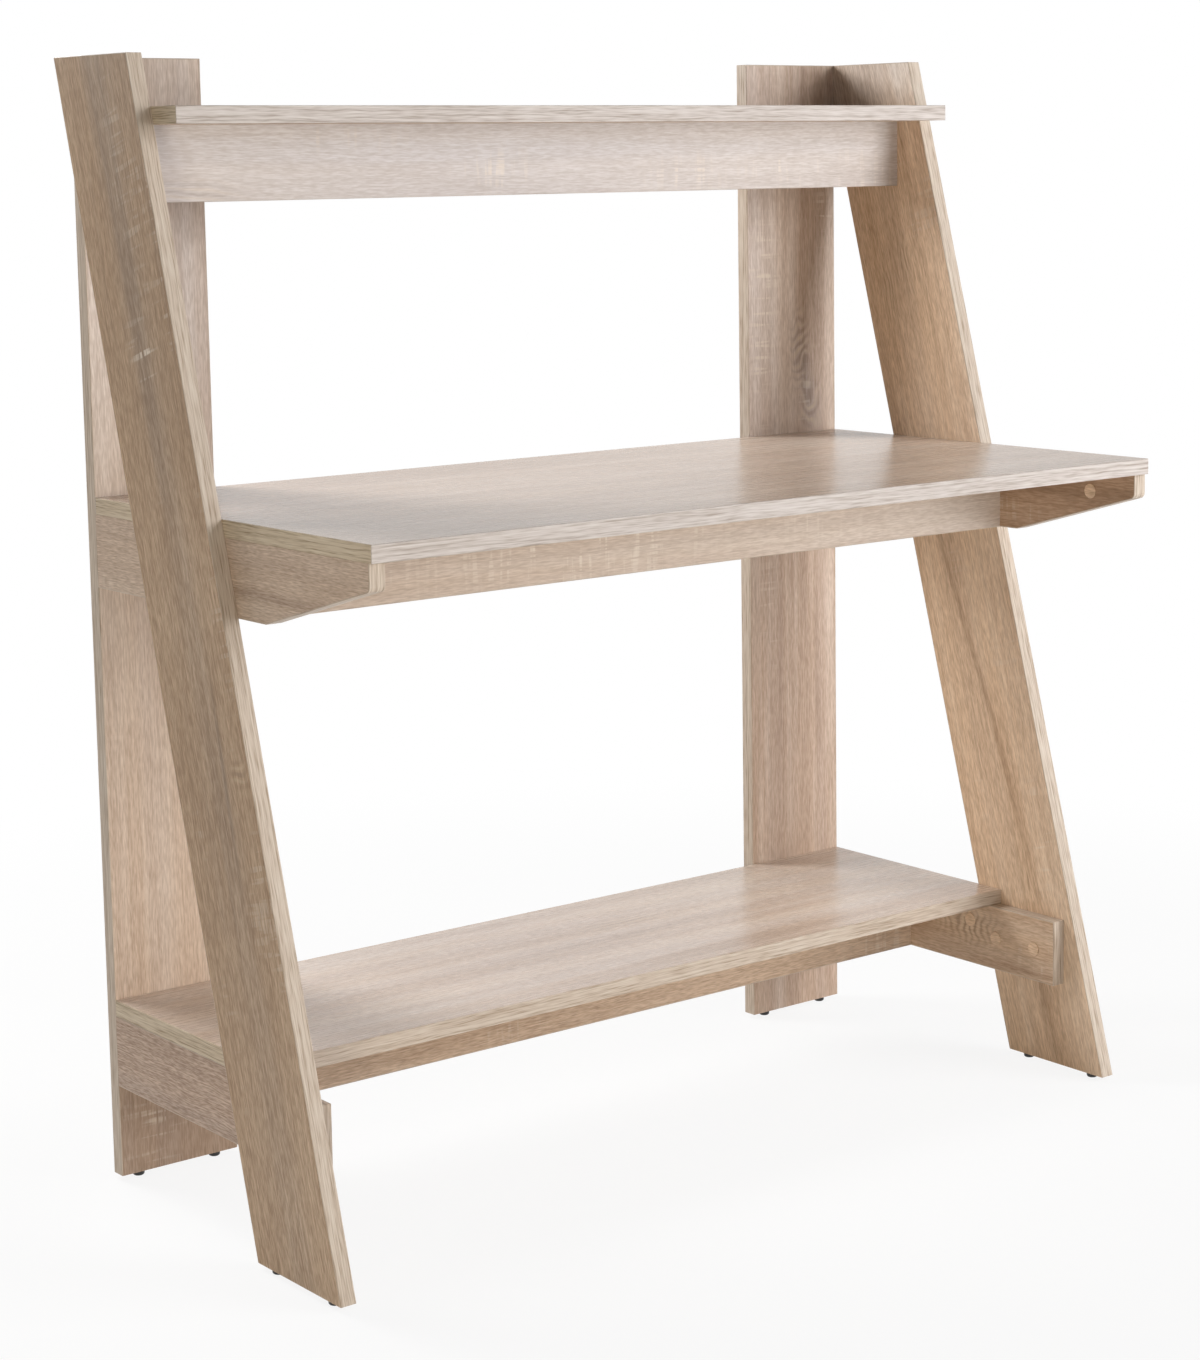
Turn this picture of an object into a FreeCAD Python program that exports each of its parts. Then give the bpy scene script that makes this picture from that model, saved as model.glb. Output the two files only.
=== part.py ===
"""A trestle desk of faced board: leaning front legs, upright rear legs, a desk top and two shelves.

Frame: X to the viewer's right, Y to the back, Z up. The origin is on the floor under the middle of
the desk. All lengths are in millimetres. The right half is modelled, and the left half mirrors it.
"""
import FreeCAD
import Part
import os
import re
import Sketcher
from FreeCAD import Placement, Rotation, Vector

# Driving sizes
SIZES = {
    # The whole desk
    "desk_width": 1100,  # over the outer faces of the front legs
    "desk_depth": 551,  # from the back of the rear legs to the front of the desk top
    "desk_height": 758,  # floor to the upper face of the desk top
    "leg_height": 1220,  # floor to the tops of all four legs
    "board": 18,  # thickness of every board
    "edging": 1,  # thickness of the glued edge bands
    # Legs
    "rear_leg_width": 146,
    "front_leg_width": 149,  # square to the leaning edges
    "front_leg_run": 334,  # how far a front leg's foot stands forward of its top
    # Top shelf and its rail
    "top_shelf_drop": 54,  # leg tops above the shelf's upper face
    "top_shelf_depth": 202,
    "top_rail_setback": 85,  # from the shelf's front to the rail's front
    # Every rail and bracket
    "rail_height": 79,
    # Brackets and rail under the desk top
    "bracket_setback": 5,  # from the desk top's front to the bracket's front
    "bracket_front_height": 27,  # height left at the tapered front end
    "bracket_knee_gap": 27.5,  # from the rail's front to where the taper starts
    "bracket_corner": 7,  # radius of the bracket's lower front corner
    "desk_rail_gap": 16.5,  # from the front leg's front edge to the rail's back
    # Lower shelf and its rails
    "lower_shelf_height": 206,  # floor to the shelf's upper face
    "lower_shelf_depth": 301,
    "lower_rail_setback": 142,  # from the shelf's front to the rail's front
    "side_rail_setback": 25,  # from the front leg's front edge to the side rail's front end
    # Cam connectors
    "cam_diameter": 15,
    "cam_setback": 24,  # from the joint to the cam's centre
    "cam_floor": 5,  # cam depth below the bolt's centre line
    "cam_recess": 0.5,  # cam face below the board's face
    "cam_clearance": 0.25,
    "cam_play": 0.2,  # room for the bolt's head and neck inside the cam
    "cam_drive_length": 8,
    "cam_drive_width": 2,
    "cam_drive_depth": 3.5,
    "shank_diameter": 7,
    "shank_clearance": 0.5,
    "neck_diameter": 4,
    "head_diameter": 7,
    "head_length": 4,
    "thread_diameter": 5,
    "thread_length": 10.5,
    "thread_clearance": 0.05,
    "bore_end_gap": 0.5,  # room left beyond the end of a thread, nut or pin
    # Dowels
    "dowel_diameter": 8,
    "dowel_length": 30,
    "dowel_face_depth": 11,  # the part that enters a board's broad face
    "dowel_chamfer": 1,
    "dowel_clearance": 0.1,
    "dowel_end_gap": 1,  # glue room behind the dowel
    # Bolts and nuts that hold the side rails and brackets to the front legs
    "leg_bolt_diameter": 6,
    "leg_bolt_clearance": 0.3,
    "leg_bolt_pitch": 64,
    "leg_bolt_head": 12,
    "leg_bolt_head_height": 3.5,
    "leg_bolt_recess": 0.5,  # bolt head below the rail's face
    "leg_bolt_tip_gap": 1,  # nut left free beyond the bolt's tip
    "socket_diameter": 4,
    "socket_depth": 2.5,
    "nut_diameter": 10,
    "nut_cover": 5,  # board left behind the nut
    "nut_clearance": 0.1,
    # Cover caps
    "cap_diameter": 17,
    "cap_thickness": 1.5,
    "cap_bevel": 0.6,
    "cap_pin_diameter": 3.4,
    "cap_pin_length": 2,
    # Floor glides
    "glide_diameter": 13,
    "glide_height": 6,
    "glide_round": 2.5,
    "glide_inset": 25,  # from a leg's edge to the glide's centre
    "glide_pin_diameter": 5,
    "glide_pin_length": 14,
    "glide_clearance": 0.1,
    # Where the fasteners sit
    "rear_joint_margin": 41,  # from a rear leg's edge to the fasteners of the boards it carries
    "leg_cam_margin": 25,  # from a front leg's edge to the top shelf's cams
    "rail_dowel_margin": 14.5,  # from a rail's edge to the dowels in its end
    "rail_dowel_place": 250,  # from the middle to the dowels along a rail's upper edge
    "bracket_front_cam": 68,  # from the bracket's front to its cam
    "back_cam": 72,  # from the rear leg to the rear cams under the desk top and lower shelf
    "lower_front_cam": 35,  # least distance from the lower shelf's front to its cam
    "cam_to_bolt": 44,  # least distance from the rear leg bolt to that cam
    "side_bolt_inset": 33,  # from the side rail's front end to the first leg bolt
    # Modelling
    "overrun": 1,  # how far a cutting solid runs past the face that it opens
}

# Values worked out from the driving sizes
PLACES = {
    "back_y": "desk_depth / 2",
    "front_y": "-desk_depth / 2",
    "rear_face_y": "back_y - board",
    "leg_inner_x": "desk_width / 2 - board",
    "leg_mid_x": "leg_inner_x + board / 2",
    "rail_inner_x": "leg_inner_x - board",
    "rail_mid_x": "leg_inner_x - board / 2",
    "rear_inner_x": "leg_inner_x - rear_leg_width",
    "rear_mid_y": "back_y - board / 2",
    "shelf_top_z": "leg_height - top_shelf_drop",
    "shelf_mid_z": "shelf_top_z - board / 2",
    "shelf_under_z": "shelf_top_z - board",
    "desk_mid_z": "desk_height - board / 2",
    "desk_under_z": "desk_height - board",
    "lower_mid_z": "lower_shelf_height - board / 2",
    "lower_under_z": "lower_shelf_height - board",
    "top_rail_mid_z": "shelf_under_z - rail_height / 2",
    "bracket_mid_z": "desk_under_z - rail_height / 2",
    "side_rail_mid_z": "lower_under_z - rail_height / 2",
    "bracket_low_z": "desk_under_z - rail_height",
    "side_rail_low_z": "lower_under_z - rail_height",
    "rail_dowel_offset": "rail_height / 2 - rail_dowel_margin",
    # The leaning leg: its slope, its width along the floor and its rear edge at three heights
    "lean": "front_leg_run / (leg_height - glide_height)",
    "leg_span": "front_leg_width * sqrt(1 + lean ^ 2)",
    "edging_span": "edging * sqrt(1 + lean ^ 2)",
    "foot_y": "back_y - front_leg_run",
    "shelf_leg_y": "back_y - lean * (leg_height - shelf_mid_z)",
    "desk_leg_y": "back_y - lean * (leg_height - bracket_mid_z)",
    "lower_leg_y": "back_y - lean * (leg_height - side_rail_mid_z)",
    # Fronts and middles of the boards between the legs
    "shelf_front_y": "rear_face_y - top_shelf_depth",
    "lower_front_y": "rear_face_y - lower_shelf_depth",
    "top_rail_front_y": "shelf_front_y + top_rail_setback",
    "top_rail_mid_y": "top_rail_front_y + board / 2",
    "desk_rail_front_y": "desk_leg_y - leg_span - desk_rail_gap - board",
    "desk_rail_mid_y": "desk_rail_front_y + board / 2",
    "lower_rail_front_y": "lower_front_y + lower_rail_setback",
    "lower_rail_mid_y": "lower_rail_front_y + board / 2",
    "side_rail_front_y": "lower_leg_y - leg_span + side_rail_setback",
    # The tapered bracket
    "bracket_front_y": "front_y + bracket_setback",
    "bracket_knee_y": "desk_rail_front_y - bracket_knee_gap",
    "bracket_rise": "rail_height - bracket_front_height",
    "bracket_slope": "bracket_rise / (bracket_knee_y - bracket_front_y)",
    "bracket_secant": "sqrt(1 + bracket_slope ^ 2)",
    # Fasteners
    "rear_cam_x": "rear_inner_x + rear_joint_margin",
    "rear_dowel_x": "leg_inner_x - rear_joint_margin",
    "shelf_cam_rear_y": "shelf_leg_y - leg_cam_margin",
    "shelf_cam_front_y": "shelf_leg_y - leg_span + leg_cam_margin",
    "shelf_dowel_y": "shelf_leg_y - leg_span / 2",
    "bracket_cam_front_y": "bracket_front_y + bracket_front_cam",
    "back_cam_y": "rear_face_y - back_cam",
    "desk_bolt_rear_y": "desk_leg_y - leg_span / 2 + leg_bolt_pitch / 2",
    "desk_bolt_front_y": "desk_bolt_rear_y - leg_bolt_pitch",
    "side_bolt_front_y": "side_rail_front_y + side_bolt_inset",
    "side_bolt_rear_y": "side_bolt_front_y + leg_bolt_pitch",
    "lower_cam_front_y": "max(lower_front_y + lower_front_cam; side_bolt_rear_y + cam_to_bolt)",
    "cam_face": "board / 2 - cam_recess",
    "head_room": "head_diameter + 2 * cam_play",
    "neck_room": "neck_diameter + 2 * cam_play",
    "shank_length": "cam_setback - cam_diameter / 2 - cam_clearance",
    "dowel_tail": "dowel_length - dowel_face_depth",
    "bolt_top": "leg_bolt_recess - board",
    "bolt_seat": "bolt_top + leg_bolt_head_height",
    "nut_length": "board - nut_cover",
}

RIGHT = Vector(1, 0, 0)
LEFT = Vector(-1, 0, 0)
BACK = Vector(0, 1, 0)
UP = Vector(0, 0, 1)
DOWN = Vector(0, 0, -1)

doc = FreeCAD.newDocument("trestle_desk")
nodes = []
bores = {}


def named(formula):
    """Write each size or place named in a formula as a cell of its sheet."""

    def cell(match):
        word = match.group(0)
        if word in SIZES:
            return f"Sizes.{word}"
        if word in PLACES:
            return f"Places.{word}"
        return word

    return re.sub(r"[a-z_]+", cell, formula)


def add_sheet(name, contents):
    """Make a sheet of one aliased cell per entry."""
    sheet = doc.addObject("Spreadsheet::Sheet", name)
    for row, (alias, content) in enumerate(contents.items(), start=1):
        sheet.set(f"A{row}", alias)
        sheet.set(f"B{row}", content)
        sheet.setAlias(f"B{row}", alias)
    doc.recompute()
    return sheet


sizes = add_sheet("Sizes", {alias: str(number) for alias, number in SIZES.items()})
places = add_sheet("Places", {alias: "=" + named(formula) for alias, formula in PLACES.items()})


def value_of(formula):
    """Number that a formula has at the present sizes."""
    return float(places.evalExpression(named(formula)))


def bind(target, formulas):
    """Bind properties of an object to formulas."""
    for name, formula in formulas.items():
        target.setExpression(name, named(formula))


def place(target, spot):
    """Bind an object's position to three formulas."""
    for axis, formula in zip("xyz", spot):
        target.setExpression(f"Placement.Base.{axis}", named(formula))


def keep(node):
    """Mark an object as a sub-part that is written out."""
    nodes.append(node)
    return node


# Building blocks


def box(name, corner, extents):
    """Box from its lowest corner and its extents along X, Y and Z."""
    block = doc.addObject("Part::Box", name)
    bind(block, dict(zip(("Length", "Width", "Height"), extents)))
    place(block, corner)
    return block


def cylinder(name, diameter, start, end, along=UP, spot=("0", "0", "0")):
    """Cylinder along an axis through a spot, from one distance along the axis to another."""
    rod = doc.addObject("Part::Cylinder", name)
    bind(rod, {"Radius": f"({diameter}) / 2", "Height": f"({end}) - ({start})"})
    rod.Placement = Placement(Vector(), Rotation(UP, along))
    shifts = [f"{base} + ({start}) * {step:g}" for base, step in zip(spot, along)]
    place(rod, shifts)
    return rod


def group(name, members):
    """Several solids kept apart in one object."""
    compound = doc.addObject("Part::Compound", name)
    compound.Links = members
    return compound


def fused(name, members):
    """Several solids joined into one."""
    fusion = doc.addObject("Part::MultiFuse", name)
    fusion.Shapes = members
    return fusion


def cut(name, base, tool):
    """One solid less another."""
    result = doc.addObject("Part::Cut", name)
    result.Base = base
    result.Tool = tool
    return result


def mirrored(name, source):
    """Mirror image of an object on the other side of the desk."""
    image = doc.addObject("Part::Mirroring", name)
    image.Source = source
    image.Base = Vector(0, 0, 0)
    image.Normal = RIGHT
    return image


def both_sides(name, right):
    """An object together with its mirror image."""
    return group(name, [right, mirrored(name + "_mirrored", right)])


def outline(sketch, points):
    """Closed polygon whose corners are bound to pairs of formulas."""
    corners = [Vector(value_of(across), value_of(up), 0) for across, up in points]
    count = len(corners)
    for index, corner in enumerate(corners):
        sketch.addGeometry(Part.LineSegment(corner, corners[(index + 1) % count]))
    for index in range(count):
        sketch.addConstraint(Sketcher.Constraint("Coincident", index, 2, (index + 1) % count, 1))
    for index, (point, corner) in enumerate(zip(points, corners)):
        ways = (("DistanceX", point[0], corner.x, -2), ("DistanceY", point[1], corner.y, -1))
        for kind, formula, number, axis in ways:
            if formula == "0":
                sketch.addConstraint(Sketcher.Constraint("PointOnObject", index, 1, axis))
                continue
            row = sketch.addConstraint(Sketcher.Constraint(kind, -1, 1, index, 1, number))
            sketch.setExpression(f"Constraints[{row}]", named(formula))


def sketched_body(name, plane_role, points):
    """Body with an outline sketched on one of its own planes."""
    body = doc.addObject("PartDesign::Body", name)
    sketch = body.newObject("Sketcher::SketchObject", name + "_outline")
    plane = next(item for item in body.Origin.OriginFeatures if item.Role == plane_role)
    sketch.AttachmentSupport = (plane, [""])
    sketch.MapMode = "FlatFace"
    outline(sketch, points)
    return body, sketch


def plate(name, points, inner_x):
    """Board standing fore and aft: an outline in Y and Z, one board thick along X."""
    body, sketch = sketched_body(name, "YZ_Plane", points)
    pad = body.newObject("PartDesign::Pad", name + "_pad")
    pad.Profile = sketch
    bind(pad, {"Length": "board"})
    place(body, (inner_x, "0", "0"))
    doc.recompute()
    return body


def turned(name, points):
    """Round piece: an outline in radius and height, turned about Z."""
    body, sketch = sketched_body(name, "XZ_Plane", points)
    revolution = body.newObject("PartDesign::Revolution", name + "_turning")
    revolution.Profile = sketch
    revolution.ReferenceAxis = (sketch, ["V_Axis"])
    revolution.Angle = 360
    doc.recompute()
    return body


def round_edge(body, spot, radius):
    """Fillet the edge of a body that passes nearest to a spot."""
    base = body.Tip
    mark = Part.Vertex(spot)
    distances = [edge.distToShape(mark)[0] for edge in base.Shape.Edges]
    number = distances.index(min(distances)) + 1
    fillet = body.newObject("PartDesign::Fillet", body.Name + "_rounding")
    fillet.Base = (base, [f"Edge{number}"])
    bind(fillet, {"Radius": radius})
    doc.recompute()


def copies(name, source, spots):
    """Copies of one object, each at its own bound position and turn."""
    links = []
    for number, (spot, turn) in enumerate(spots, start=1):
        link = doc.addObject("App::Link", f"{name}_{number}")
        link.LinkedObject = source
        link.LinkTransform = True
        link.Placement = Placement(Vector(), turn)
        place(link, spot)
        links.append(link)
    return links


def facing(along, towards=None):
    """Turn that points local Z along a direction and, if given, local X towards another."""
    if towards is None:
        return Rotation(UP, along)
    return Rotation(towards, along.cross(towards), along, "ZXY")


# Fasteners and the bores that take them
# Each has its joint in the plane Z = 0 and enters the neighbouring board along +Z.

CAM_CENTRE = ("0", "0", "-cam_setback")
cam_blank = cylinder("cam_blank", "cam_diameter", "-cam_floor", "cam_face", RIGHT, CAM_CENTRE)
cam_head_room = box(
    "cam_head_room",
    ("-head_room / 2", "-head_room / 2", "-cam_setback - head_length / 2 - cam_play"),
    ("head_room", "head_room / 2 + cam_diameter / 2", "head_length + 2 * cam_play"),
)
cam_neck_room = box(
    "cam_neck_room",
    ("-neck_room / 2", "-neck_room / 2", "-cam_setback"),
    ("neck_room", "neck_room", "cam_diameter / 2"),
)
cam_drive_bore = cylinder(
    "cam_drive_bore",
    "cap_pin_diameter + 2 * cam_play",
    "cam_face - cam_drive_depth",
    "cam_face + overrun",
    RIGHT,
    CAM_CENTRE,
)
cam_drive_across = box(
    "cam_drive_across",
    ("cam_face - cam_drive_depth", "-cam_drive_length / 2", "-cam_setback - cam_drive_width / 2"),
    ("cam_drive_depth + overrun", "cam_drive_length", "cam_drive_width"),
)
cam_drive_along = box(
    "cam_drive_along",
    ("cam_face - cam_drive_depth", "-cam_drive_width / 2", "-cam_setback - cam_drive_length / 2"),
    ("cam_drive_depth + overrun", "cam_drive_width", "cam_drive_length"),
)
cam_hollow = fused(
    "cam_hollow", [cam_head_room, cam_neck_room, cam_drive_bore, cam_drive_across, cam_drive_along]
)
cam_lock = cut("cam_lock", cam_blank, cam_hollow)
cam_bolt = turned(
    "cam_bolt",
    [
        ("0", "-cam_setback - head_length / 2"),
        ("head_diameter / 2", "-cam_setback - head_length / 2"),
        ("head_diameter / 2", "-cam_setback + head_length / 2"),
        ("neck_diameter / 2", "-cam_setback + head_length / 2"),
        ("neck_diameter / 2", "-shank_length"),
        ("shank_diameter / 2", "-shank_length"),
        ("shank_diameter / 2", "0"),
        ("thread_diameter / 2", "0"),
        ("thread_diameter / 2", "thread_length"),
        ("0", "thread_length"),
    ],
)
cam_bore = fused(
    "cam_bore",
    [
        cylinder(
            "cam_pocket",
            "cam_diameter + 2 * cam_clearance",
            "-cam_floor",
            "board / 2 + overrun",
            RIGHT,
            CAM_CENTRE,
        ),
        cylinder("shank_bore", "shank_diameter + 2 * shank_clearance", "-cam_setback", "overrun"),
    ],
)
thread_bore = cylinder(
    "thread_bore", "thread_diameter + 2 * thread_clearance", "-overrun", "thread_length + bore_end_gap"
)

dowel = turned(
    "dowel",
    [
        ("0", "-dowel_tail"),
        ("dowel_diameter / 2 - dowel_chamfer", "-dowel_tail"),
        ("dowel_diameter / 2", "dowel_chamfer - dowel_tail"),
        ("dowel_diameter / 2", "dowel_face_depth - dowel_chamfer"),
        ("dowel_diameter / 2 - dowel_chamfer", "dowel_face_depth"),
        ("0", "dowel_face_depth"),
    ],
)
dowel_bore = cylinder(
    "dowel_bore", "dowel_diameter + 2 * dowel_clearance", "-dowel_tail - dowel_end_gap", "dowel_face_depth"
)

leg_bolt = turned(
    "leg_bolt",
    [
        ("0", "bolt_top + socket_depth"),
        ("socket_diameter / 2", "bolt_top + socket_depth"),
        ("socket_diameter / 2", "bolt_top"),
        ("leg_bolt_head / 2", "bolt_top"),
        ("leg_bolt_head / 2", "bolt_seat"),
        ("leg_bolt_diameter / 2", "bolt_seat"),
        ("leg_bolt_diameter / 2", "nut_length - leg_bolt_tip_gap"),
        ("0", "nut_length - leg_bolt_tip_gap"),
    ],
)
insert_nut = turned(
    "insert_nut",
    [
        ("leg_bolt_diameter / 2 + thread_clearance", "0"),
        ("nut_diameter / 2", "0"),
        ("nut_diameter / 2", "nut_length"),
        ("leg_bolt_diameter / 2 + thread_clearance", "nut_length"),
    ],
)
leg_bolt_bore = fused(
    "leg_bolt_bore",
    [
        cylinder(
            "bolt_head_bore", "leg_bolt_head + 2 * leg_bolt_clearance", "-board - overrun", "bolt_seat"
        ),
        cylinder(
            "bolt_shank_bore", "leg_bolt_diameter + 2 * leg_bolt_clearance", "-board", "overrun"
        ),
    ],
)
nut_bore = cylinder("nut_bore", "nut_diameter + 2 * nut_clearance", "-overrun", "nut_length + bore_end_gap")

cover_cap = turned(
    "cover_cap",
    [
        ("0", "-cap_pin_length"),
        ("cap_pin_diameter / 2", "-cap_pin_length"),
        ("cap_pin_diameter / 2", "0"),
        ("cap_diameter / 2", "0"),
        ("cap_diameter / 2", "cap_thickness - cap_bevel"),
        ("cap_diameter / 2 - cap_bevel", "cap_thickness"),
        ("0", "cap_thickness"),
    ],
)

glide = turned(
    "glide",
    [
        ("0", "-glide_height"),
        ("glide_diameter / 2", "-glide_height"),
        ("glide_diameter / 2", "0"),
        ("glide_pin_diameter / 2", "0"),
        ("glide_pin_diameter / 2", "glide_pin_length"),
        ("0", "glide_pin_length"),
    ],
)
round_edge(glide, Vector(value_of("glide_diameter / 2"), 0, value_of("-glide_height")), "glide_round")
glide_bore = cylinder(
    "glide_bore",
    "glide_pin_diameter + 2 * glide_clearance",
    "-overrun",
    "glide_pin_length + bore_end_gap",
)

# Where the fasteners go on the right half
# A cam connector: the board that holds the cam, the board that holds its bolt, the joint, the
# bolt's direction and the side that the cam is turned from.
CAM_CONNECTORS = [
    ("top_shelf", "front_leg_right", ("leg_inner_x", "shelf_cam_rear_y", "shelf_mid_z"), RIGHT, DOWN),
    ("top_shelf", "front_leg_right", ("leg_inner_x", "shelf_cam_front_y", "shelf_mid_z"), RIGHT, DOWN),
    ("desk_bracket_right", "desktop", ("rail_mid_x", "bracket_cam_front_y", "desk_under_z"), UP, LEFT),
    ("desk_bracket_right", "desktop", ("rail_mid_x", "back_cam_y", "desk_under_z"), UP, LEFT),
    ("lower_side_rail_right", "lower_shelf", ("rail_mid_x", "lower_cam_front_y", "lower_under_z"), UP, LEFT),
    ("lower_side_rail_right", "lower_shelf", ("rail_mid_x", "back_cam_y", "lower_under_z"), UP, LEFT),
]
SHELF_BACKS = [
    ("top_shelf", "shelf_mid_z"),
    ("desktop", "desk_mid_z"),
    ("lower_shelf", "lower_mid_z"),
]
SIDE_BACKS = [
    ("desk_bracket_right", "bracket_mid_z"),
    ("lower_side_rail_right", "side_rail_mid_z"),
]
RAIL_ENDS = [
    ("top_rail", "front_leg_right", "leg_inner_x", "top_rail_mid_y", "top_rail_mid_z"),
    ("desk_rail", "desk_bracket_right", "rail_inner_x", "desk_rail_mid_y", "bracket_mid_z"),
    ("lower_rail", "lower_side_rail_right", "rail_inner_x", "lower_rail_mid_y", "side_rail_mid_z"),
]
for shelf_name, mid_z in SHELF_BACKS:
    joint = ("rear_cam_x", "rear_face_y", mid_z)
    CAM_CONNECTORS.append((shelf_name, "rear_leg_right", joint, BACK, DOWN))
for side_name, mid_z in SIDE_BACKS:
    joint = ("rail_mid_x", "rear_face_y", mid_z)
    CAM_CONNECTORS.append((side_name, "rear_leg_right", joint, BACK, LEFT))
for rail, neighbour, joint_x, mid_y, mid_z in RAIL_ENDS:
    CAM_CONNECTORS.append((rail, neighbour, (joint_x, mid_y, mid_z), RIGHT, BACK))

# A dowel: the board whose edge holds it, the board whose face holds it, the joint and the direction.
DOWELS = [
    ("top_shelf", "front_leg_right", ("leg_inner_x", "shelf_dowel_y", "shelf_mid_z"), RIGHT),
    ("top_rail", "top_shelf", ("rail_dowel_place", "top_rail_mid_y", "shelf_under_z"), UP),
    ("desk_rail", "desktop", ("rail_dowel_place", "desk_rail_mid_y", "desk_under_z"), UP),
    ("lower_rail", "lower_shelf", ("rail_dowel_place", "lower_rail_mid_y", "lower_under_z"), UP),
]
for shelf_name, mid_z in SHELF_BACKS:
    DOWELS.append((shelf_name, "rear_leg_right", ("rear_dowel_x", "rear_face_y", mid_z), BACK))
for side_name, mid_z in SIDE_BACKS:
    joint = ("rail_mid_x", "rear_face_y", f"{mid_z} - rail_dowel_offset")
    DOWELS.append((side_name, "rear_leg_right", joint, BACK))
for rail, neighbour, joint_x, mid_y, mid_z in RAIL_ENDS:
    for sign in "+-":
        DOWELS.append((rail, neighbour, (joint_x, mid_y, f"{mid_z} {sign} rail_dowel_offset"), RIGHT))

# A leg bolt: the board that it passes through and the joint on the front leg's inner face.
LEG_BOLTS = [
    ("desk_bracket_right", ("leg_inner_x", "desk_bolt_rear_y", "bracket_mid_z")),
    ("desk_bracket_right", ("leg_inner_x", "desk_bolt_front_y", "bracket_mid_z")),
    ("lower_side_rail_right", ("leg_inner_x", "side_bolt_rear_y", "side_rail_mid_z")),
    ("lower_side_rail_right", ("leg_inner_x", "side_bolt_front_y", "side_rail_mid_z")),
]

# A glide: the leg above it and the middle of its seat.
GLIDES = [
    ("rear_leg_right", ("leg_inner_x - glide_inset", "rear_mid_y", "glide_height")),
    ("rear_leg_right", ("rear_inner_x + glide_inset", "rear_mid_y", "glide_height")),
    ("front_leg_right", ("leg_mid_x", "foot_y - glide_inset", "glide_height")),
    ("front_leg_right", ("leg_mid_x", "foot_y - leg_span + glide_inset", "glide_height")),
]


def drill(board_name, cutter, spot, turn):
    """Add one bore to a board."""
    made = bores.setdefault(board_name, [])
    made += copies(f"{board_name}_bore_{len(made)}", cutter, [(spot, turn)])


def fastener_group(label, source, spots):
    """Equal fasteners on both sides of the desk, as separate solids in one sub-part."""
    right = group(label + "_right", copies(label, source, spots))
    keep(both_sides(label, right))


cam_spots = []
cap_spots = []
for holder, neighbour, joint, along, open_side in CAM_CONNECTORS:
    cam_turn = facing(along, open_side)
    cam_spots.append((joint, cam_turn))
    drill(holder, cam_bore, joint, cam_turn)
    drill(neighbour, thread_bore, joint, cam_turn)
    if open_side == LEFT:
        cam_centre = [f"{base} - cam_setback * {step:g}" for base, step in zip(joint, along)]
        cap_spots.append((("rail_inner_x", cam_centre[1], cam_centre[2]), facing(LEFT)))
fastener_group("cam_locks", cam_lock, cam_spots)
fastener_group("cam_bolts", cam_bolt, cam_spots)

dowel_spots = []
for holder, neighbour, joint, along in DOWELS:
    dowel_spots.append((joint, facing(along)))
    drill(holder, dowel_bore, joint, facing(along))
    drill(neighbour, dowel_bore, joint, facing(along))
fastener_group("dowels", dowel, dowel_spots)

bolt_spots = []
for holder, joint in LEG_BOLTS:
    bolt_spots.append((joint, facing(RIGHT)))
    drill(holder, leg_bolt_bore, joint, facing(RIGHT))
    drill("front_leg_right", nut_bore, joint, facing(RIGHT))
    cap_spots.append((("rail_inner_x", joint[1], joint[2]), facing(LEFT)))
fastener_group("leg_bolts", leg_bolt, bolt_spots)
fastener_group("insert_nuts", insert_nut, bolt_spots)
fastener_group("cover_caps", cover_cap, cap_spots)

glide_spots = []
for holder, seat in GLIDES:
    glide_spots.append((seat, facing(UP)))
    drill(holder, glide_bore, seat, facing(UP))
fastener_group("glides", glide, glide_spots)


# Boards and their edge bands


def finish_board(name, blank, strips, tool):
    """Bore a board and its edge bands, and keep both as sub-parts."""
    bored = keep(cut(name, blank, tool))
    bands = [cut(f"{name}_band_{number}", strip, tool) for number, strip in enumerate(strips, start=1)]
    return bored, keep(group(name + "_edging", bands))


def middle_board(name, blank, strips):
    """Board that crosses the middle of the desk, bored alike at both ends."""
    tool = both_sides(name + "_bores", group(name + "_right_bores", bores[name]))
    finish_board(name, blank, strips, tool)


def side_board(name, blank, strips):
    """Board on the right side, with its mirror image on the left."""
    tool = group(f"{name}_bores", bores[name + "_right"])
    board, bands = finish_board(name + "_right", blank, strips, tool)
    keep(mirrored(name + "_left", board))
    keep(mirrored(name + "_left_edging", bands))


def shelf(name, shelf_front, top):
    """Panel between the front legs, against the rear legs, banded all round."""
    under = f"{top} - board"
    length = "2 * leg_inner_x"
    depth = f"rear_face_y - {shelf_front}"
    blank = box(
        name + "_core",
        ("edging - leg_inner_x", f"{shelf_front} + edging", under),
        (f"{length} - 2 * edging", f"{depth} - 2 * edging", "board"),
    )
    front = box(name + "_front", ("-leg_inner_x", shelf_front, under), (length, "edging", "board"))
    back = box(name + "_back", ("-leg_inner_x", "rear_face_y - edging", under), (length, "edging", "board"))
    ends = [
        box(
            f"{name}_{side}_end",
            (low_x, f"{shelf_front} + edging", under),
            ("edging", f"{depth} - 2 * edging", "board"),
        )
        for side, low_x in (("left", "-leg_inner_x"), ("right", "leg_inner_x - edging"))
    ]
    middle_board(name, blank, [front, back] + ends)


def cross_rail(name, end_x, rail_front, top):
    """Rail on edge under a shelf, banded along its lower edge."""
    blank = box(
        name + "_core",
        (f"-{end_x}", rail_front, f"{top} - rail_height + edging"),
        (f"2 * {end_x}", "board", "rail_height - edging"),
    )
    low = box(
        name + "_low",
        (f"-{end_x}", rail_front, f"{top} - rail_height"),
        (f"2 * {end_x}", "board", "edging"),
    )
    middle_board(name, blank, [low])


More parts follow.
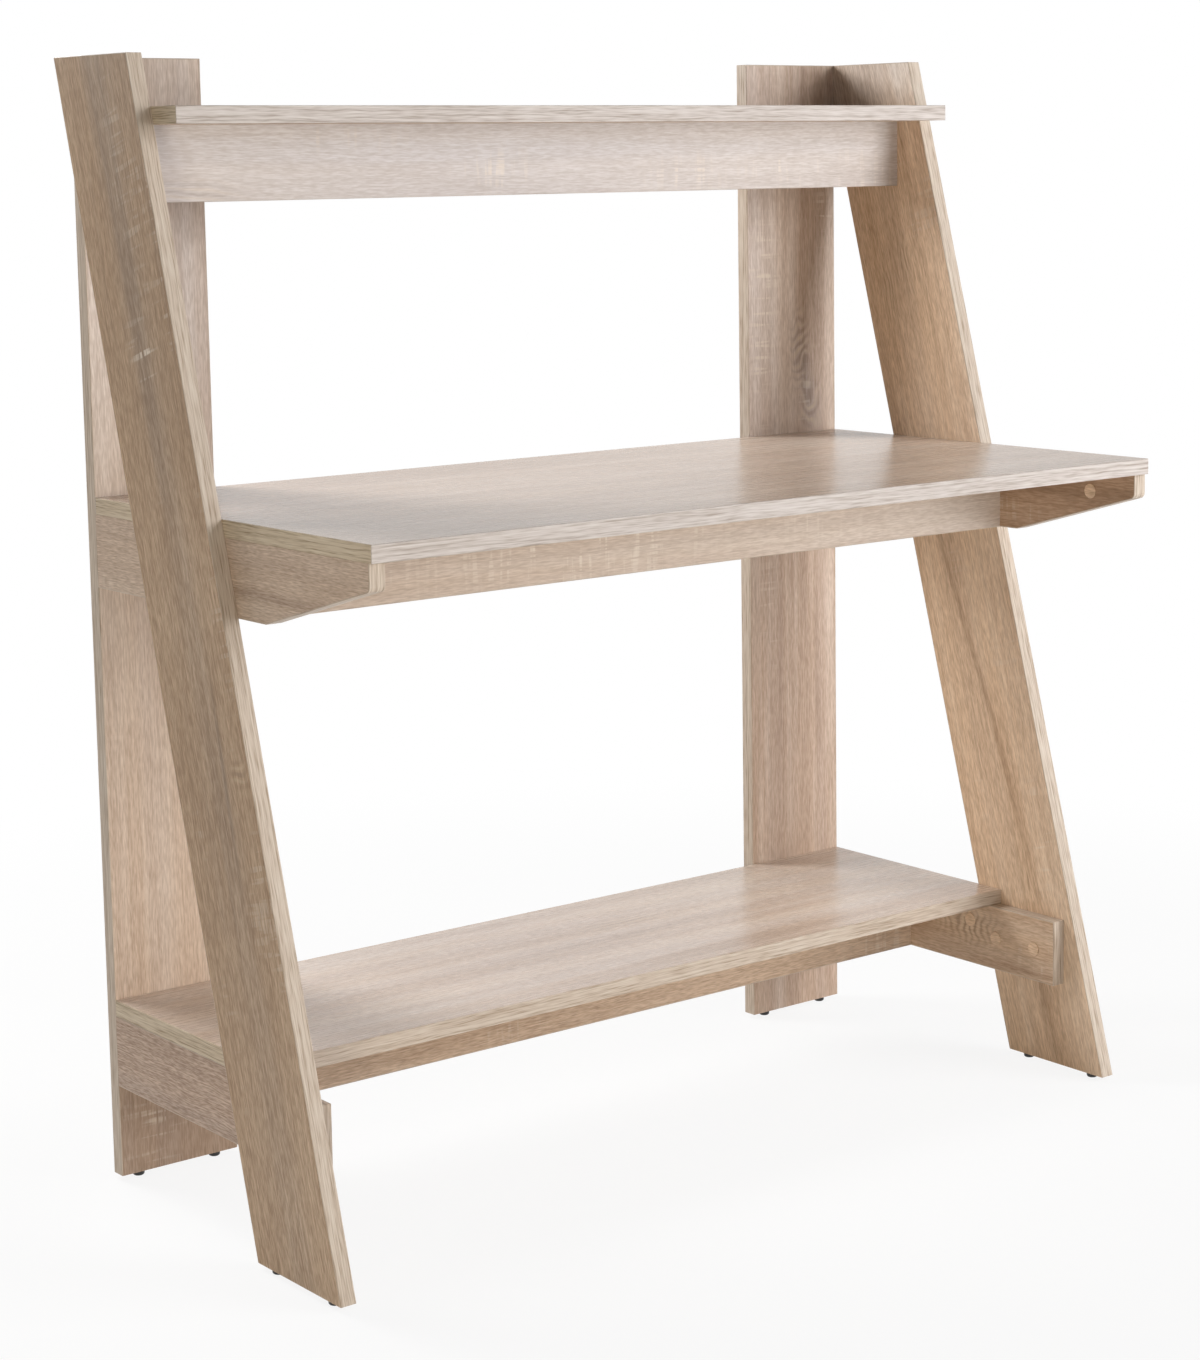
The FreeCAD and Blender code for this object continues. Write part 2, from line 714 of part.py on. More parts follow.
def rear_leg():
    """Upright board, banded up both edges and over the top."""
    foot = "glide_height"
    length = "leg_height - glide_height"
    blank = box(
        "rear_leg_core",
        ("rear_inner_x + edging", "rear_face_y", foot),
        ("rear_leg_width - 2 * edging", "board", f"{length} - edging"),
    )
    strips = [
        box("rear_leg_inner", ("rear_inner_x", "rear_face_y", foot), ("edging", "board", length)),
        box("rear_leg_outer", ("leg_inner_x - edging", "rear_face_y", foot), ("edging", "board", length)),
        box(
            "rear_leg_top",
            ("rear_inner_x + edging", "rear_face_y", "leg_height - edging"),
            ("rear_leg_width - 2 * edging", "board", "edging"),
        ),
    ]
    side_board("rear_leg", blank, strips)


def front_leg():
    """Leaning board with level ends, banded along both edges and over the top."""

    def corner(across, height):
        """Corner that lies some way forward of the leaning rear edge, at a height."""
        return (f"back_y - lean * (leg_height - ({height})) - ({across})", height)

    def slice_of(name, rear, front, low, high):
        """Slice of the leg between two leaning lines and two levels."""
        points = [corner(rear, low), corner(rear, high), corner(front, high), corner(front, low)]
        return plate(name, points, "leg_inner_x")

    foot = "glide_height"
    top = "leg_height"
    below_band = "leg_height - edging"
    inner_front = "leg_span - edging_span"
    blank = slice_of("front_leg_core", "edging_span", inner_front, foot, below_band)
    strips = [
        slice_of("front_leg_rear_band", "0", "edging_span", foot, top),
        slice_of("front_leg_front_band", inner_front, "leg_span", foot, top),
        slice_of("front_leg_top_band", "edging_span", inner_front, below_band, top),
    ]
    side_board("front_leg", blank, strips)


def desk_bracket():
    """Side rail under the desk top, tapered to a rounded front, with one band round the outline."""

    def profile(name, inset, radius):
        """Bracket solid whose banded edges lie an inset inside the finished outline."""
        low = f"bracket_low_z + {inset}"
        front = f"bracket_front_y + {inset}"
        knee = f"bracket_knee_y + {inset} * (bracket_secant - 1) / bracket_slope"
        front_low = f"desk_under_z - bracket_front_height + {inset} * (bracket_secant - bracket_slope)"
        points = [
            ("rear_face_y", "desk_under_z"),
            ("rear_face_y", low),
            (knee, low),
            (front, front_low),
            (front, "desk_under_z"),
        ]
        body = plate(name, points, "rail_inner_x")
        tip = Vector(value_of("rail_mid_x"), value_of(front), value_of(front_low))
        round_edge(body, tip - Vector(value_of("rail_inner_x"), 0, 0), radius)
        return body

    whole = profile("bracket_whole", "0", "bracket_corner")
    core = profile("bracket_core", "edging", "bracket_corner - edging")
    side_board("desk_bracket", core, [cut("bracket_band", whole, core)])


def lower_side_rail():
    """Side rail under the lower shelf, banded on its long edges and its front end."""
    length = "rear_face_y - side_rail_front_y"
    blank = box(
        "side_rail_core",
        ("rail_inner_x", "side_rail_front_y + edging", "side_rail_low_z + edging"),
        ("board", f"{length} - edging", "rail_height - 2 * edging"),
    )
    strips = [
        box(
            f"side_rail_{side}",
            ("rail_inner_x", "side_rail_front_y", low_z),
            ("board", length, "edging"),
        )
        for side, low_z in (("low", "side_rail_low_z"), ("high", "lower_under_z - edging"))
    ]
    end = box(
        "side_rail_end",
        ("rail_inner_x", "side_rail_front_y", "side_rail_low_z + edging"),
        ("board", "edging", "rail_height - 2 * edging"),
    )
    strips.append(end)
    side_board("lower_side_rail", blank, strips)


rear_leg()
front_leg()
shelf("top_shelf", "shelf_front_y", "shelf_top_z")
shelf("desktop", "front_y", "desk_height")
shelf("lower_shelf", "lower_front_y", "lower_shelf_height")
cross_rail("top_rail", "leg_inner_x", "top_rail_front_y", "shelf_under_z")
cross_rail("desk_rail", "rail_inner_x", "desk_rail_front_y", "desk_under_z")
cross_rail("lower_rail", "rail_inner_x", "lower_rail_front_y", "lower_under_z")
desk_bracket()
lower_side_rail()
doc.recompute()

# Checks before anything is written
for item in doc.Objects:
    if "Invalid" in item.State or "Error" in item.State:
        raise RuntimeError(f"{item.Label} failed: {item.State}")
for node in nodes:
    if node.Shape.isNull() or not node.Shape.isValid():
        raise RuntimeError(f"{node.Label} has no valid shape")
    if node.TypeId == "Part::Cut" and node.Shape.Volume >= node.Base.Shape.Volume:
        raise RuntimeError(f"the bores of {node.Label} cut nothing")

os.makedirs("parts", exist_ok=True)
for node in nodes:
    node.Shape.exportStep(f"parts/{node.Label}.step")
    print(f"{node.Label}: {len(node.Shape.Solids)} solids, {node.Shape.Volume / 1000:.1f} cm3")
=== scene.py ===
"""Trestle desk of faced board: the oak print on its boards, its edge bands, fittings and studio.

The frame gives every board with its bores, in metres: X to the right, Y to the back, Z up. The
boards stay as they are and take a printed oak finish. The edge bands, cover caps and floor glides
are made here, with the eased arrises and crowns that show at a close look.
"""
import logging
import math
from dataclasses import dataclass, replace
from enum import Enum
from typing import Sequence, Union

import bpy
import numpy as np
from mathutils import Matrix, Vector


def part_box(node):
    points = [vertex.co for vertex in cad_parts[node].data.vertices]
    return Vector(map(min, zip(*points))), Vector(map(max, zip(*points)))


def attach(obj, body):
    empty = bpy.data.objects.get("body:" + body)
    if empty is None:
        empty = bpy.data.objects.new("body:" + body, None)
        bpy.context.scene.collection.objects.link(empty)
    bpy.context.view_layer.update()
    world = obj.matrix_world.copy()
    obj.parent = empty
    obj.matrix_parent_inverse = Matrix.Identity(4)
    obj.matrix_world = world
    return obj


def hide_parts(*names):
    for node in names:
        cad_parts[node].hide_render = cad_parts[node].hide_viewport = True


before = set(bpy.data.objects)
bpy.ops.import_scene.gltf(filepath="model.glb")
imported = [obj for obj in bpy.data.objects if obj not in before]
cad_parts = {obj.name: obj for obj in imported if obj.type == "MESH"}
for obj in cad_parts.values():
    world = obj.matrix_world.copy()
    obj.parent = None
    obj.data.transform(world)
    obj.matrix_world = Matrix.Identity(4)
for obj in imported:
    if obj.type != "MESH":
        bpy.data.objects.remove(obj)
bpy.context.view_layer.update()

LOG = logging.getLogger("trestle_desk")
BAND_MAP = "band"
SMOOTH_ANGLE = math.radians(35)

Socket = bpy.types.NodeSocket
Material = bpy.types.Material
Triple = tuple[float, float, float]
Colour = tuple[float, ...]
Value = Union[float, Sequence[float], Socket]

X_AXIS: Triple = (1.0, 0.0, 0.0)
Y_AXIS: Triple = (0.0, 1.0, 0.0)
Z_AXIS: Triple = (0.0, 0.0, 1.0)

# Display curve: steps to full brightness, end and slope of its straight foot, offset and exponent
DISPLAY_STEPS = 255
DISPLAY_FOOT = 0.04045
DISPLAY_SLOPE = 12.92
DISPLAY_OFFSET = 0.055
DISPLAY_EXPONENT = 2.4

# Share and colour inputs of a mix node, its colour output, and the middle level of noise
MIX_INPUTS = (0, 6, 7)
MIX_RESULT = 2
NOISE_MIDDLE = 0.5


def tone(red: int, green: int, blue: int) -> Colour:
    """Turns a colour given in 0 to 255 display steps into the linear colour that a node takes.

    Args:
        red: Red step.
        green: Green step.
        blue: Blue step.

    Returns:
        Linear red, green, blue and a full alpha.
    """
    steps = np.array([red, green, blue]) / DISPLAY_STEPS
    curved = ((steps + DISPLAY_OFFSET) / (1 + DISPLAY_OFFSET)) ** DISPLAY_EXPONENT
    linear = np.where(steps <= DISPLAY_FOOT, steps / DISPLAY_SLOPE, curved)
    return (*linear.tolist(), 1.0)


def add_object(name: str, data: bpy.types.ID) -> bpy.types.Object:
    """Makes an object of a mesh, lamp or camera and puts it into the scene.

    Args:
        name: Name of the object.
        data: What the object shows.

    Returns:
        The object, at the origin.
    """
    made = bpy.data.objects.new(name, data)
    bpy.context.scene.collection.objects.link(made)
    return made


class Graph:
    """A node tree with short calls for the nodes that the finishes are made of."""

    def __init__(self, tree: bpy.types.NodeTree) -> None:
        """Takes the tree that the calls add nodes to."""
        self.tree = tree

    def node(self, kind: str, **settings: object) -> bpy.types.Node:
        """Adds a node.

        Args:
            kind: Blender's name for the node type.
            **settings: Properties to set on the new node.

        Returns:
            The new node.
        """
        made = self.tree.nodes.new(kind)
        for name, setting in settings.items():
            setattr(made, name, setting)
        return made

    def feed(self, socket: Socket, value: Value) -> None:
        """Links a socket to an output, or sets it to a plain value."""
        if isinstance(value, Socket):
            self.tree.links.new(value, socket)
        else:
            socket.default_value = value

    def math(self, operation: str, first: Value, second: Value = 0.0, clamp: bool = False) -> Socket:
        """Adds one step of arithmetic.

        Args:
            operation: Name of the operation, such as ADD.
            first: First operand.
            second: Second operand.
            clamp: Whether the result is kept between 0 and 1.

        Returns:
            The result.
        """
        step = self.node("ShaderNodeMath", operation=operation, use_clamp=clamp)
        self.feed(step.inputs[0], first)
        self.feed(step.inputs[1], second)
        return step.outputs[0]

    def vector(self, operation: str, first: Value, second: Value = (0.0, 0.0, 0.0)) -> Socket:
        """Adds one step of vector arithmetic.

        Args:
            operation: Name of the operation, such as MULTIPLY.
            first: First operand.
            second: Second operand.

        Returns:
            The resulting vector, or the number of a dot product or length.
        """
        step = self.node("ShaderNodeVectorMath", operation=operation)
        self.feed(step.inputs[0], first)
        self.feed(step.inputs[1], second)
        return step.outputs["Value" if operation in ("DOT_PRODUCT", "LENGTH") else "Vector"]

    def combine(self, first: Value, second: Value, third: Value) -> Socket:
        """Joins three numbers into a vector."""
        joined = self.node("ShaderNodeCombineXYZ")
        for socket, value in zip(joined.inputs, (first, second, third)):
            self.feed(socket, value)
        return joined.outputs[0]

    def noise(
        self, place: Socket, per_metre: Triple, detail: float = 1.0, rough: float = 0.5
    ) -> Socket:
        """Adds smooth noise, stretched by giving each axis its own scale.

        Args:
            place: Where the noise is read.
            per_metre: Cycles per metre along each axis of that place.
            detail: Number of finer layers.
            rough: How strong the finer layers are.

        Returns:
            Noise about 0.5, mostly from 0.25 to 0.75.
        """
        made = self.node("ShaderNodeTexNoise")
        self.feed(made.inputs["Vector"], self.vector("MULTIPLY", place, per_metre))
        self.feed(made.inputs["Scale"], 1.0)
        self.feed(made.inputs["Detail"], detail)
        self.feed(made.inputs["Roughness"], rough)
        return made.outputs[0]

    def centred_noise(self, place: Socket, per_metre: Triple, detail: float = 1.0) -> Socket:
        """Adds noise as above, less its middle level, so that it lies about 0."""
        return self.math("SUBTRACT", self.noise(place, per_metre, detail), NOISE_MIDDLE)

    def fade(
        self, value: Value, low: float, high: float, to_low: float = 0.0, to_high: float = 1.0
    ) -> Socket:
        """Eases from one level to another while a value goes from low to high.

        Args:
            value: The driving value.
            low: Where the change starts.
            high: Where the change ends.
            to_low: Level before the change.
            to_high: Level after the change.

        Returns:
            The eased level.
        """
        made = self.node("ShaderNodeMapRange", interpolation_type="SMOOTHSTEP")
        for socket, number in zip(made.inputs, (value, low, high, to_low, to_high)):
            self.feed(socket, number)
        return made.outputs[0]

    def ramp(self, value: Socket, stops: Sequence[tuple[float, Colour]]) -> Socket:
        """Colours a value by stops.

        Args:
            value: The driving value.
            stops: Pairs of position and colour, in rising order.

        Returns:
            The colour.
        """
        made = self.node("ShaderNodeValToRGB")
        elements = made.color_ramp.elements
        while len(elements) < len(stops):
            elements.new(1.0)
        for element, (position, colour) in zip(elements, stops):
            element.position = position
            element.color = colour
        self.feed(made.inputs[0], value)
        return made.outputs[0]

    def mix(self, share: Value, base: Value, other: Value) -> Socket:
        """Mixes two colours.

        Args:
            share: Share of the other colour.
            base: Colour at share 0.
            other: Colour at share 1.

        Returns:
            The mixed colour.
        """
        made = self.node("ShaderNodeMix", data_type="RGBA")
        for number, value in zip(MIX_INPUTS, (share, base, other)):
            self.feed(made.inputs[number], value)
        return made.outputs[MIX_RESULT]

    def blend(self, share: Value, base: bpy.types.Node, other: bpy.types.Node) -> Socket:
        """Mixes two shaders.

        Args:
            share: Share of the other shader.
            base: Shader at share 0.
            other: Shader at share 1.

        Returns:
            The mixed shader.
        """
        made = self.node("ShaderNodeMixShader")
        for socket, value in zip(made.inputs, (share, base.outputs[0], other.outputs[0])):
            self.feed(socket, value)
        return made.outputs[0]

    def bump(self, height: Socket, depth: float, strength: float) -> Socket:
        """Turns a height into a bumped normal.

        Args:
            height: Height from 0 to 1.
            depth: Depth of the relief in metres.
            strength: How much of it shows.

        Returns:
            The normal.
        """
        made = self.node("ShaderNodeBump")
        self.feed(made.inputs["Strength"], strength)
        self.feed(made.inputs["Distance"], depth)
        self.feed(made.inputs["Height"], height)
        return made.outputs[0]

    def seen(self) -> Socket:
        """Gives 1 for camera, glossy and transmission rays, which see the white background."""
        path = self.node("ShaderNodeLightPath").outputs
        mirrored = self.math("MAXIMUM", path["Is Glossy Ray"], path["Is Transmission Ray"])
        return self.math("MAXIMUM", path["Is Camera Ray"], mirrored)


class Finish:
    """A surface finish: a principled shader and the graph that feeds it."""

    def __init__(self, name: str) -> None:
        """Makes an empty finish of that name."""
        self.material = bpy.data.materials.new(name)
        self.material.use_nodes = True
        self.graph = Graph(self.material.node_tree)
        self.shader = self.material.node_tree.nodes["Principled BSDF"]

    def set(self, **inputs: Value) -> None:
        """Feeds the shader's inputs, named with underscores for spaces."""
        for name, value in inputs.items():
            label = name.replace("_", " ").title().replace("Ior", "IOR")
            self.graph.feed(self.shader.inputs[label], value)

    def place(self) -> Socket:
        """Gives the point on the surface in the desk's frame."""
        return self.graph.node("ShaderNodeTexCoord").outputs["Object"]


@dataclass(frozen=True)
class OakTones:
    """Colours of the oak print: from the dark heart streaks to the pale early wood."""

    heart: Colour
    body: Colour
    pale: Colour

    def stops(self, levels: Triple) -> list[tuple[float, Colour]]:
        """Pairs the colours with the levels at which a ramp shows them."""
        return list(zip(levels, (self.heart, self.body, self.pale)))


class Shade(Enum):
    """The shades of oak that the boards were cut from."""

    ASH = OakTones(tone(187, 176, 170), tone(207, 198, 193), tone(220, 213, 209))
    ROSE = OakTones(tone(174, 150, 131), tone(201, 178, 158), tone(215, 196, 178))
    TAWNY = OakTones(tone(162, 137, 119), tone(193, 168, 149), tone(219, 202, 188))
    STRAW = OakTones(tone(178, 157, 140), tone(201, 181, 164), tone(215, 199, 184))
    CREAM = OakTones(tone(188, 168, 151), tone(212, 193, 176), tone(223, 208, 193))
    HONEY = OakTones(tone(190, 160, 132), tone(219, 190, 161), tone(231, 208, 183))
    RUSSET = OakTones(tone(150, 121, 97), tone(182, 152, 126), tone(202, 175, 149))
    UMBER = OakTones(tone(150, 127, 106), tone(180, 151, 122), tone(197, 170, 142))


PORE = tone(122, 99, 82)
EARLY_WOOD = tone(218, 200, 172)
SCRATCH = tone(231, 219, 205)
CHIPS = OakTones(tone(122, 92, 62), tone(170, 136, 98), tone(206, 178, 140))

# Factors on red, green and blue where the colour is greyed, by greyer print and in places by a
# painted sheen, and their shares in the fine shading
GREYED: Triple = (0.84, 0.96, 1.18)
FINE_TINT: Triple = (0.88, 1.06, 1.22)

# Half length of a mark that runs along the whole board without fading
WHOLE_LENGTH = 20.0

# Noise of the prints: cycles per metre along and across the board or band, and per unit of depth
DRIFT: Triple = (1.1, 5.0, 1.0)
RIPPLE: Triple = (15.0, 24.0, 1.0)
SWIRL: Triple = (20.0, 45.0, 1.0)
GREY_ZONES: Triple = (0.45, 32.0, 1.0)
FIBRES: Triple = (12.0, 480.0, 1.0)
FLECKS: Triple = (85.0, 720.0, 1.0)
PORES: Triple = (55.0, 1000.0, 1.0)
SAW_CUTS: Triple = (165.0, 14.0, 1.0)
SAWN_PATCHES: Triple = (5.0, 13.0, 1.0)
BAND_LINES: Triple = (7.0, 400.0, 1.0)
BAND_FLECKS: Triple = (40.0, 760.0, 1.0)

# Noise of the pressed chips: cycles per metre along each axis of the desk
CHIP_NOISE: Triple = (420.0, 420.0, 420.0)

# Broad bands, streaks and growth lines, each with its weight in the figure
FIGURE_LAYERS = (((0.55, 17.0, 1.0), 0.26), ((2.4, 62.0, 1.0), 0.15), ((5.0, 190.0, 1.0), 0.09))

# Levels at which ramps show the dark, middle and pale colour
OAK_LEVELS: Triple = (0.39, 0.5, 0.6)
BAND_LEVELS: Triple = (0.33, 0.5, 0.66)
CHIP_LEVELS: Triple = (0.35, 0.5, 0.66)

# Levels from which and to which a feature comes up
DARK_LINE = (0.0, 0.95)
PALE_LINE = (-0.3, -1.0)
ALL_NOISE = (0.25, 0.75)
MOST_NOISE = (0.3, 0.7)
ZONE_LEVELS = (0.36, 0.66)
PORE_LEVELS = (0.56, 0.72)
HEART_LEVELS = (0.56, 0.43)
SAW_LEVELS = (0.54, 0.68)
PATCH_LEVELS = (0.6, 0.74)
BREAK_LEVELS = (0.34, 0.58)
EDGE_FACING = (0.75, 0.6)

# Pores outside and inside the heart, depth of a pore, and share of saw marks that come by chance
HEART_PORES = (0.2, 0.8)
PORE_DEPTH = 0.8
CHANCE_MARKS = 0.3

# Contrast of the fibres and flecks, and how far the fibres vary the roughness
FIBRE_CONTRAST = 0.7
FLECK_CONTRAST = 1.4
ROUGHNESS_SPREAD = 0.03


@dataclass(frozen=True)
class Mark:
    """A place on a board's print, in metres along and across it, fading out from its middle.

    Attributes:
        along: Middle along the board.
        across: Middle across the board.
        length: Half length.
        width: Half width.
        strength: How strongly it shows.
        slope: Drift across the board for each metre along it.
    """

    along: float
    across: float
    length: float
    width: float
    strength: float = 0.6
    slope: float = 0.0

    def bell(self, graph: Graph, flat: Socket) -> Socket:
        """Gives the strength times the exponent of minus the squared distance from the middle.

        The distance is counted in half lengths along the board and half widths across it.

        Args:
            graph: Graph to add to.
            flat: Point along and across the board.

        Returns:
            The strength at that point.
        """
        shifted = graph.vector("SUBTRACT", flat, (self.along, self.across, 0.0))
        along = graph.vector("DOT_PRODUCT", shifted, (1 / self.length, 0.0, 0.0))
        across = graph.vector("DOT_PRODUCT", shifted, (-self.slope / self.width, 1 / self.width, 0.0))
        offset = graph.combine(along, across, 0.0)
        falloff = graph.math("MULTIPLY", graph.vector("DOT_PRODUCT", offset, offset), -1.0)
        return graph.math("MULTIPLY", graph.math("EXPONENT", falloff), self.strength)


@dataclass(frozen=True)
class Flame(Mark):
    """A swirl of the grain: dark and pale lines that are arcs about a hub, bent by noise.

    Attributes:
        hub: Middle of the arcs, in metres along and across the board.
        spacing: Distance from line to line.
        bend: How far noise bends the lines, in metres.
        squeeze: Factor on distances along the board; under 1 draws the arcs out along it.
    """

    hub: tuple[float, float] = (0.0, 0.0)
    spacing: float = 0.009
    bend: float = 0.02
    squeeze: float = 1.0

    def draw(self, graph: Graph, flat: Socket, colour: Socket) -> Socket:
        """Draws the lines: dark where the sine of the bent distance is high, pale where it is low.

        Args:
            graph: Graph to add to.
            flat: Point along and across the board.
            colour: Colour under the lines.

        Returns:
            The colour with the lines.
        """
        from_hub = graph.vector("SUBTRACT", flat, (*self.hub, 0.0))
        reach = graph.vector("LENGTH", graph.vector("MULTIPLY", from_hub, (self.squeeze, 1.0, 0.0)))
        swirl = graph.math("MULTIPLY", graph.noise(flat, SWIRL), self.bend)
        turns = graph.math("MULTIPLY", graph.math("ADD", reach, swirl), 2 * math.pi / self.spacing)
        wave = graph.math("SINE", turns)
        bell = self.bell(graph, flat)
        for levels, ink in ((DARK_LINE, PORE), (PALE_LINE, EARLY_WOOD)):
            line = graph.math("MULTIPLY", graph.fade(wave, *levels), bell, clamp=True)
            colour = graph.mix(line, colour, ink)
        return colour


@dataclass(frozen=True)
class OakPrint:
    """The oak print as it lies on one board.

    The print is read along and across the board. Broad bands, streaks, growth lines, fibres and
    flecks are noise that is stretched along the grain, the finer the narrower. The first three run
    through the shade's colours, and the fibres and flecks lighten and darken them. Saw marks are
    noise that is stretched across the grain. Board edges left bare show pressed chips.

    Attributes:
        shade: Colours of the board.
        along: Direction of the grain.
        across: Direction across the grain, in the board's face.
        through: Direction through the board.
        seed: Place on the printed roll that the board was cut from.
        flames: Places where the grain swirls.
        saw_marks: Places with pale saw marks.
        streaks: Places that are darker, or paler where the strength is below 0: streaks of the print,
            and on some boards painted shade and painted light.
        greyed: Places where the colour is greyer: greyer print, and in places a painted sheen.
        figure: Contrast of the bands, streaks and growth lines.
        fibre: Contrast of the fibres and flecks.
        pores: Share of dark in the pores.
        greyness: Share of grey in the zones that come by chance.
        gloss: Specular level of the facing.
        roughness: Roughness of the facing, about which the fibres vary it.
        bare_edges: Whether the board has edges without a band.
        wander: How far the grain drifts across, in metres.
        waviness: How far it ripples, in metres.
        face_change: Change of the print through the board, so that its faces differ.
    """

    shade: Shade
    along: Triple
    across: Triple
    through: Triple
    seed: float
    flames: tuple[Flame, ...] = ()
    saw_marks: tuple[Mark, ...] = ()
    streaks: tuple[Mark, ...] = ()
    greyed: tuple[Mark, ...] = ()
    figure: float = 1.0
    fibre: float = 0.12
    pores: float = 0.5
    greyness: float = 0.15
    gloss: float = 0.25
    roughness: float = 0.45
    bare_edges: bool = True
    wander: float = 0.016
    waviness: float = 0.0026
    face_change: float = 45.0

    def sum_marks(self, graph: Graph, flat: Socket, marks: Sequence[Mark], start: Value) -> Value:
        """Adds the bells of several marks to a start value.

        Args:
            graph: Graph to add to.
            flat: Point along and across the board.
            marks: The marks.
            start: Value to add to.

        Returns:
            The sum.
        """
        total = start
        for mark in marks:
            total = graph.math("ADD", total, mark.bell(graph, flat))
        return total

    def grain(self, graph: Graph, flat: Socket) -> Socket:
        """Bends the board's straight coordinates into those of the grain.

        Args:
            graph: Graph to add to.
            flat: Point along and across the board.

        Returns:
            Point along and across the grain.
        """
        drift = graph.math("MULTIPLY", graph.centred_noise(flat, DRIFT, detail=2.0), self.wander)
        ripple = graph.math("MULTIPLY", graph.centred_noise(flat, RIPPLE), self.waviness)
        sway = graph.math("ADD", drift, ripple)
        return graph.vector("ADD", flat, graph.combine(0.0, sway, 0.0))

    def shade_fine(self, graph: Graph, fine: Socket, contrast: float, colour: Socket) -> Socket:
        """Darkens and lightens a colour by fine noise, the blue a little more, so that the hue holds.

        Args:
            graph: Graph to add to.
            fine: The noise.
            contrast: Share by which green changes, about.
            colour: Colour to shade.

        Returns:
            The shaded colour.
        """
        dark = tuple(1 - contrast * share for share in FINE_TINT)
        light = tuple(1 + contrast * share for share in FINE_TINT)
        shading = graph.mix(graph.fade(fine, *ALL_NOISE), (*dark, 1.0), (*light, 1.0))
        return graph.vector("MULTIPLY", colour, shading)

    def draw_saw_marks(self, graph: Graph, flat: Socket, fibres: Socket, colour: Socket) -> Socket:
        """Draws pale marks across the grain, here and there and in the given places.

        Args:
            graph: Graph to add to.
            flat: Point along and across the board.
            fibres: Fibres of the print, which break up the marks.
            colour: Colour under the marks.

        Returns:
            The colour with the marks.
        """
        marks = graph.fade(graph.noise(flat, SAW_CUTS), *SAW_LEVELS)
        patches = graph.noise(flat, SAWN_PATCHES)
        scattered = graph.fade(patches, *PATCH_LEVELS, to_high=CHANCE_MARKS)
        placed = self.sum_marks(graph, flat, self.saw_marks, scattered)
        broken = graph.fade(fibres, *BREAK_LEVELS)
        sawn = graph.math("MULTIPLY", graph.math("MULTIPLY", marks, placed), broken, clamp=True)
        return graph.mix(sawn, colour, SCRATCH)

    def draw_bare_edges(self, graph: Graph, place: Socket, colour: Socket) -> Socket:
        """Draws pressed chips on the faces that stand square to the print.

        Args:
            graph: Graph to add to.
            place: Point in the desk's frame.
            colour: Colour of the print.

        Returns:
            The colour with chips on the edges.
        """
        facing = graph.node("ShaderNodeTexCoord").outputs["Normal"]
        flush = graph.math("ABSOLUTE", graph.vector("DOT_PRODUCT", facing, self.through))
        chips = graph.noise(place, CHIP_NOISE, detail=2.0, rough=0.7)
        pressed = graph.ramp(chips, CHIPS.stops(CHIP_LEVELS))
        return graph.mix(graph.fade(flush, *EDGE_FACING), colour, pressed)

    def material(self, name: str) -> Material:
        """Builds the print as a material.

        Args:
            name: Name of the material.

        Returns:
            The material.
        """
        finish = Finish(name)
        graph = finish.graph
        place = finish.place()
        along = graph.vector("DOT_PRODUCT", place, self.along)
        across = graph.vector("DOT_PRODUCT", place, self.across)
        depth = graph.vector("DOT_PRODUCT", place, self.through)
        layer = graph.math("ADD", graph.math("MULTIPLY", depth, self.face_change), self.seed)
        flat = graph.combine(along, across, layer)
        grain = self.grain(graph, flat)

        # Streaks of the print, and on some boards painted shade and painted light, set the level
        level = self.sum_marks(graph, grain, self.streaks, 0.0)
        level = graph.math("SUBTRACT", NOISE_MIDDLE, level)
        for per_metre, weight in FIGURE_LAYERS:
            waves = graph.centred_noise(grain, per_metre, detail=2.0)
            level = graph.math("ADD", level, graph.math("MULTIPLY", waves, weight * self.figure))
        colour = graph.ramp(level, self.shade.value.stops(OAK_LEVELS))
        grey_noise = graph.noise(grain, GREY_ZONES, detail=0.0)
        zones = graph.fade(grey_noise, *ZONE_LEVELS, to_high=self.greyness)
        grey_share = self.sum_marks(graph, grain, self.greyed, zones)
        colour = graph.mix(grey_share, colour, graph.vector("MULTIPLY", colour, GREYED))
        fibres = graph.noise(grain, FIBRES)
        flecks = graph.noise(grain, FLECKS)
        colour = self.shade_fine(graph, fibres, FIBRE_CONTRAST * self.fibre, colour)
        colour = self.shade_fine(graph, flecks, FLECK_CONTRAST * self.fibre, colour)
        for flame in self.flames:
            colour = flame.draw(graph, flat, colour)

        pores = graph.fade(graph.noise(grain, PORES), *PORE_LEVELS)
        in_heart = graph.fade(level, *HEART_LEVELS, *HEART_PORES)
        pitted = graph.math("MULTIPLY", pores, in_heart)
        colour = graph.mix(graph.math("MULTIPLY", pitted, self.pores), colour, PORE)
        colour = self.draw_saw_marks(graph, flat, fibres, colour)
        if self.bare_edges:
            colour = self.draw_bare_edges(graph, place, colour)

        relief = graph.math("SUBTRACT", fibres, graph.math("MULTIPLY", pitted, PORE_DEPTH))
        rough = self.roughness + ROUGHNESS_SPREAD
        smooth = self.roughness - ROUGHNESS_SPREAD
        finish.set(
            base_color=colour,
            specular_ior_level=self.gloss,
            roughness=graph.fade(fibres, *MOST_NOISE, rough, smooth),
            normal=graph.bump(relief, depth=0.0002, strength=0.1),
        )
        return finish.material


class BandShade(Enum):
    """The shades of edge band.

    Pale runs along the top shelf, the top rail and the desk top, and tan elsewhere. Olive is a copy
    of the band, lighter and yellower, for the ends of the shelves and the desk top: painted light and
    shade for the dim, warm side light on those left-facing ends.
    """

    PALE = OakTones(tone(164, 151, 141), tone(199, 189, 183), tone(213, 205, 200))
    TAN = OakTones(tone(161, 141, 121), tone(201, 185, 169), tone(215, 203, 189))
    # A copy of the tan band, lighter and yellower, for the left-facing ends: painted light and shade
    OLIVE = OakTones(tone(158, 138, 113), tone(205, 188, 164), tone(218, 204, 182))


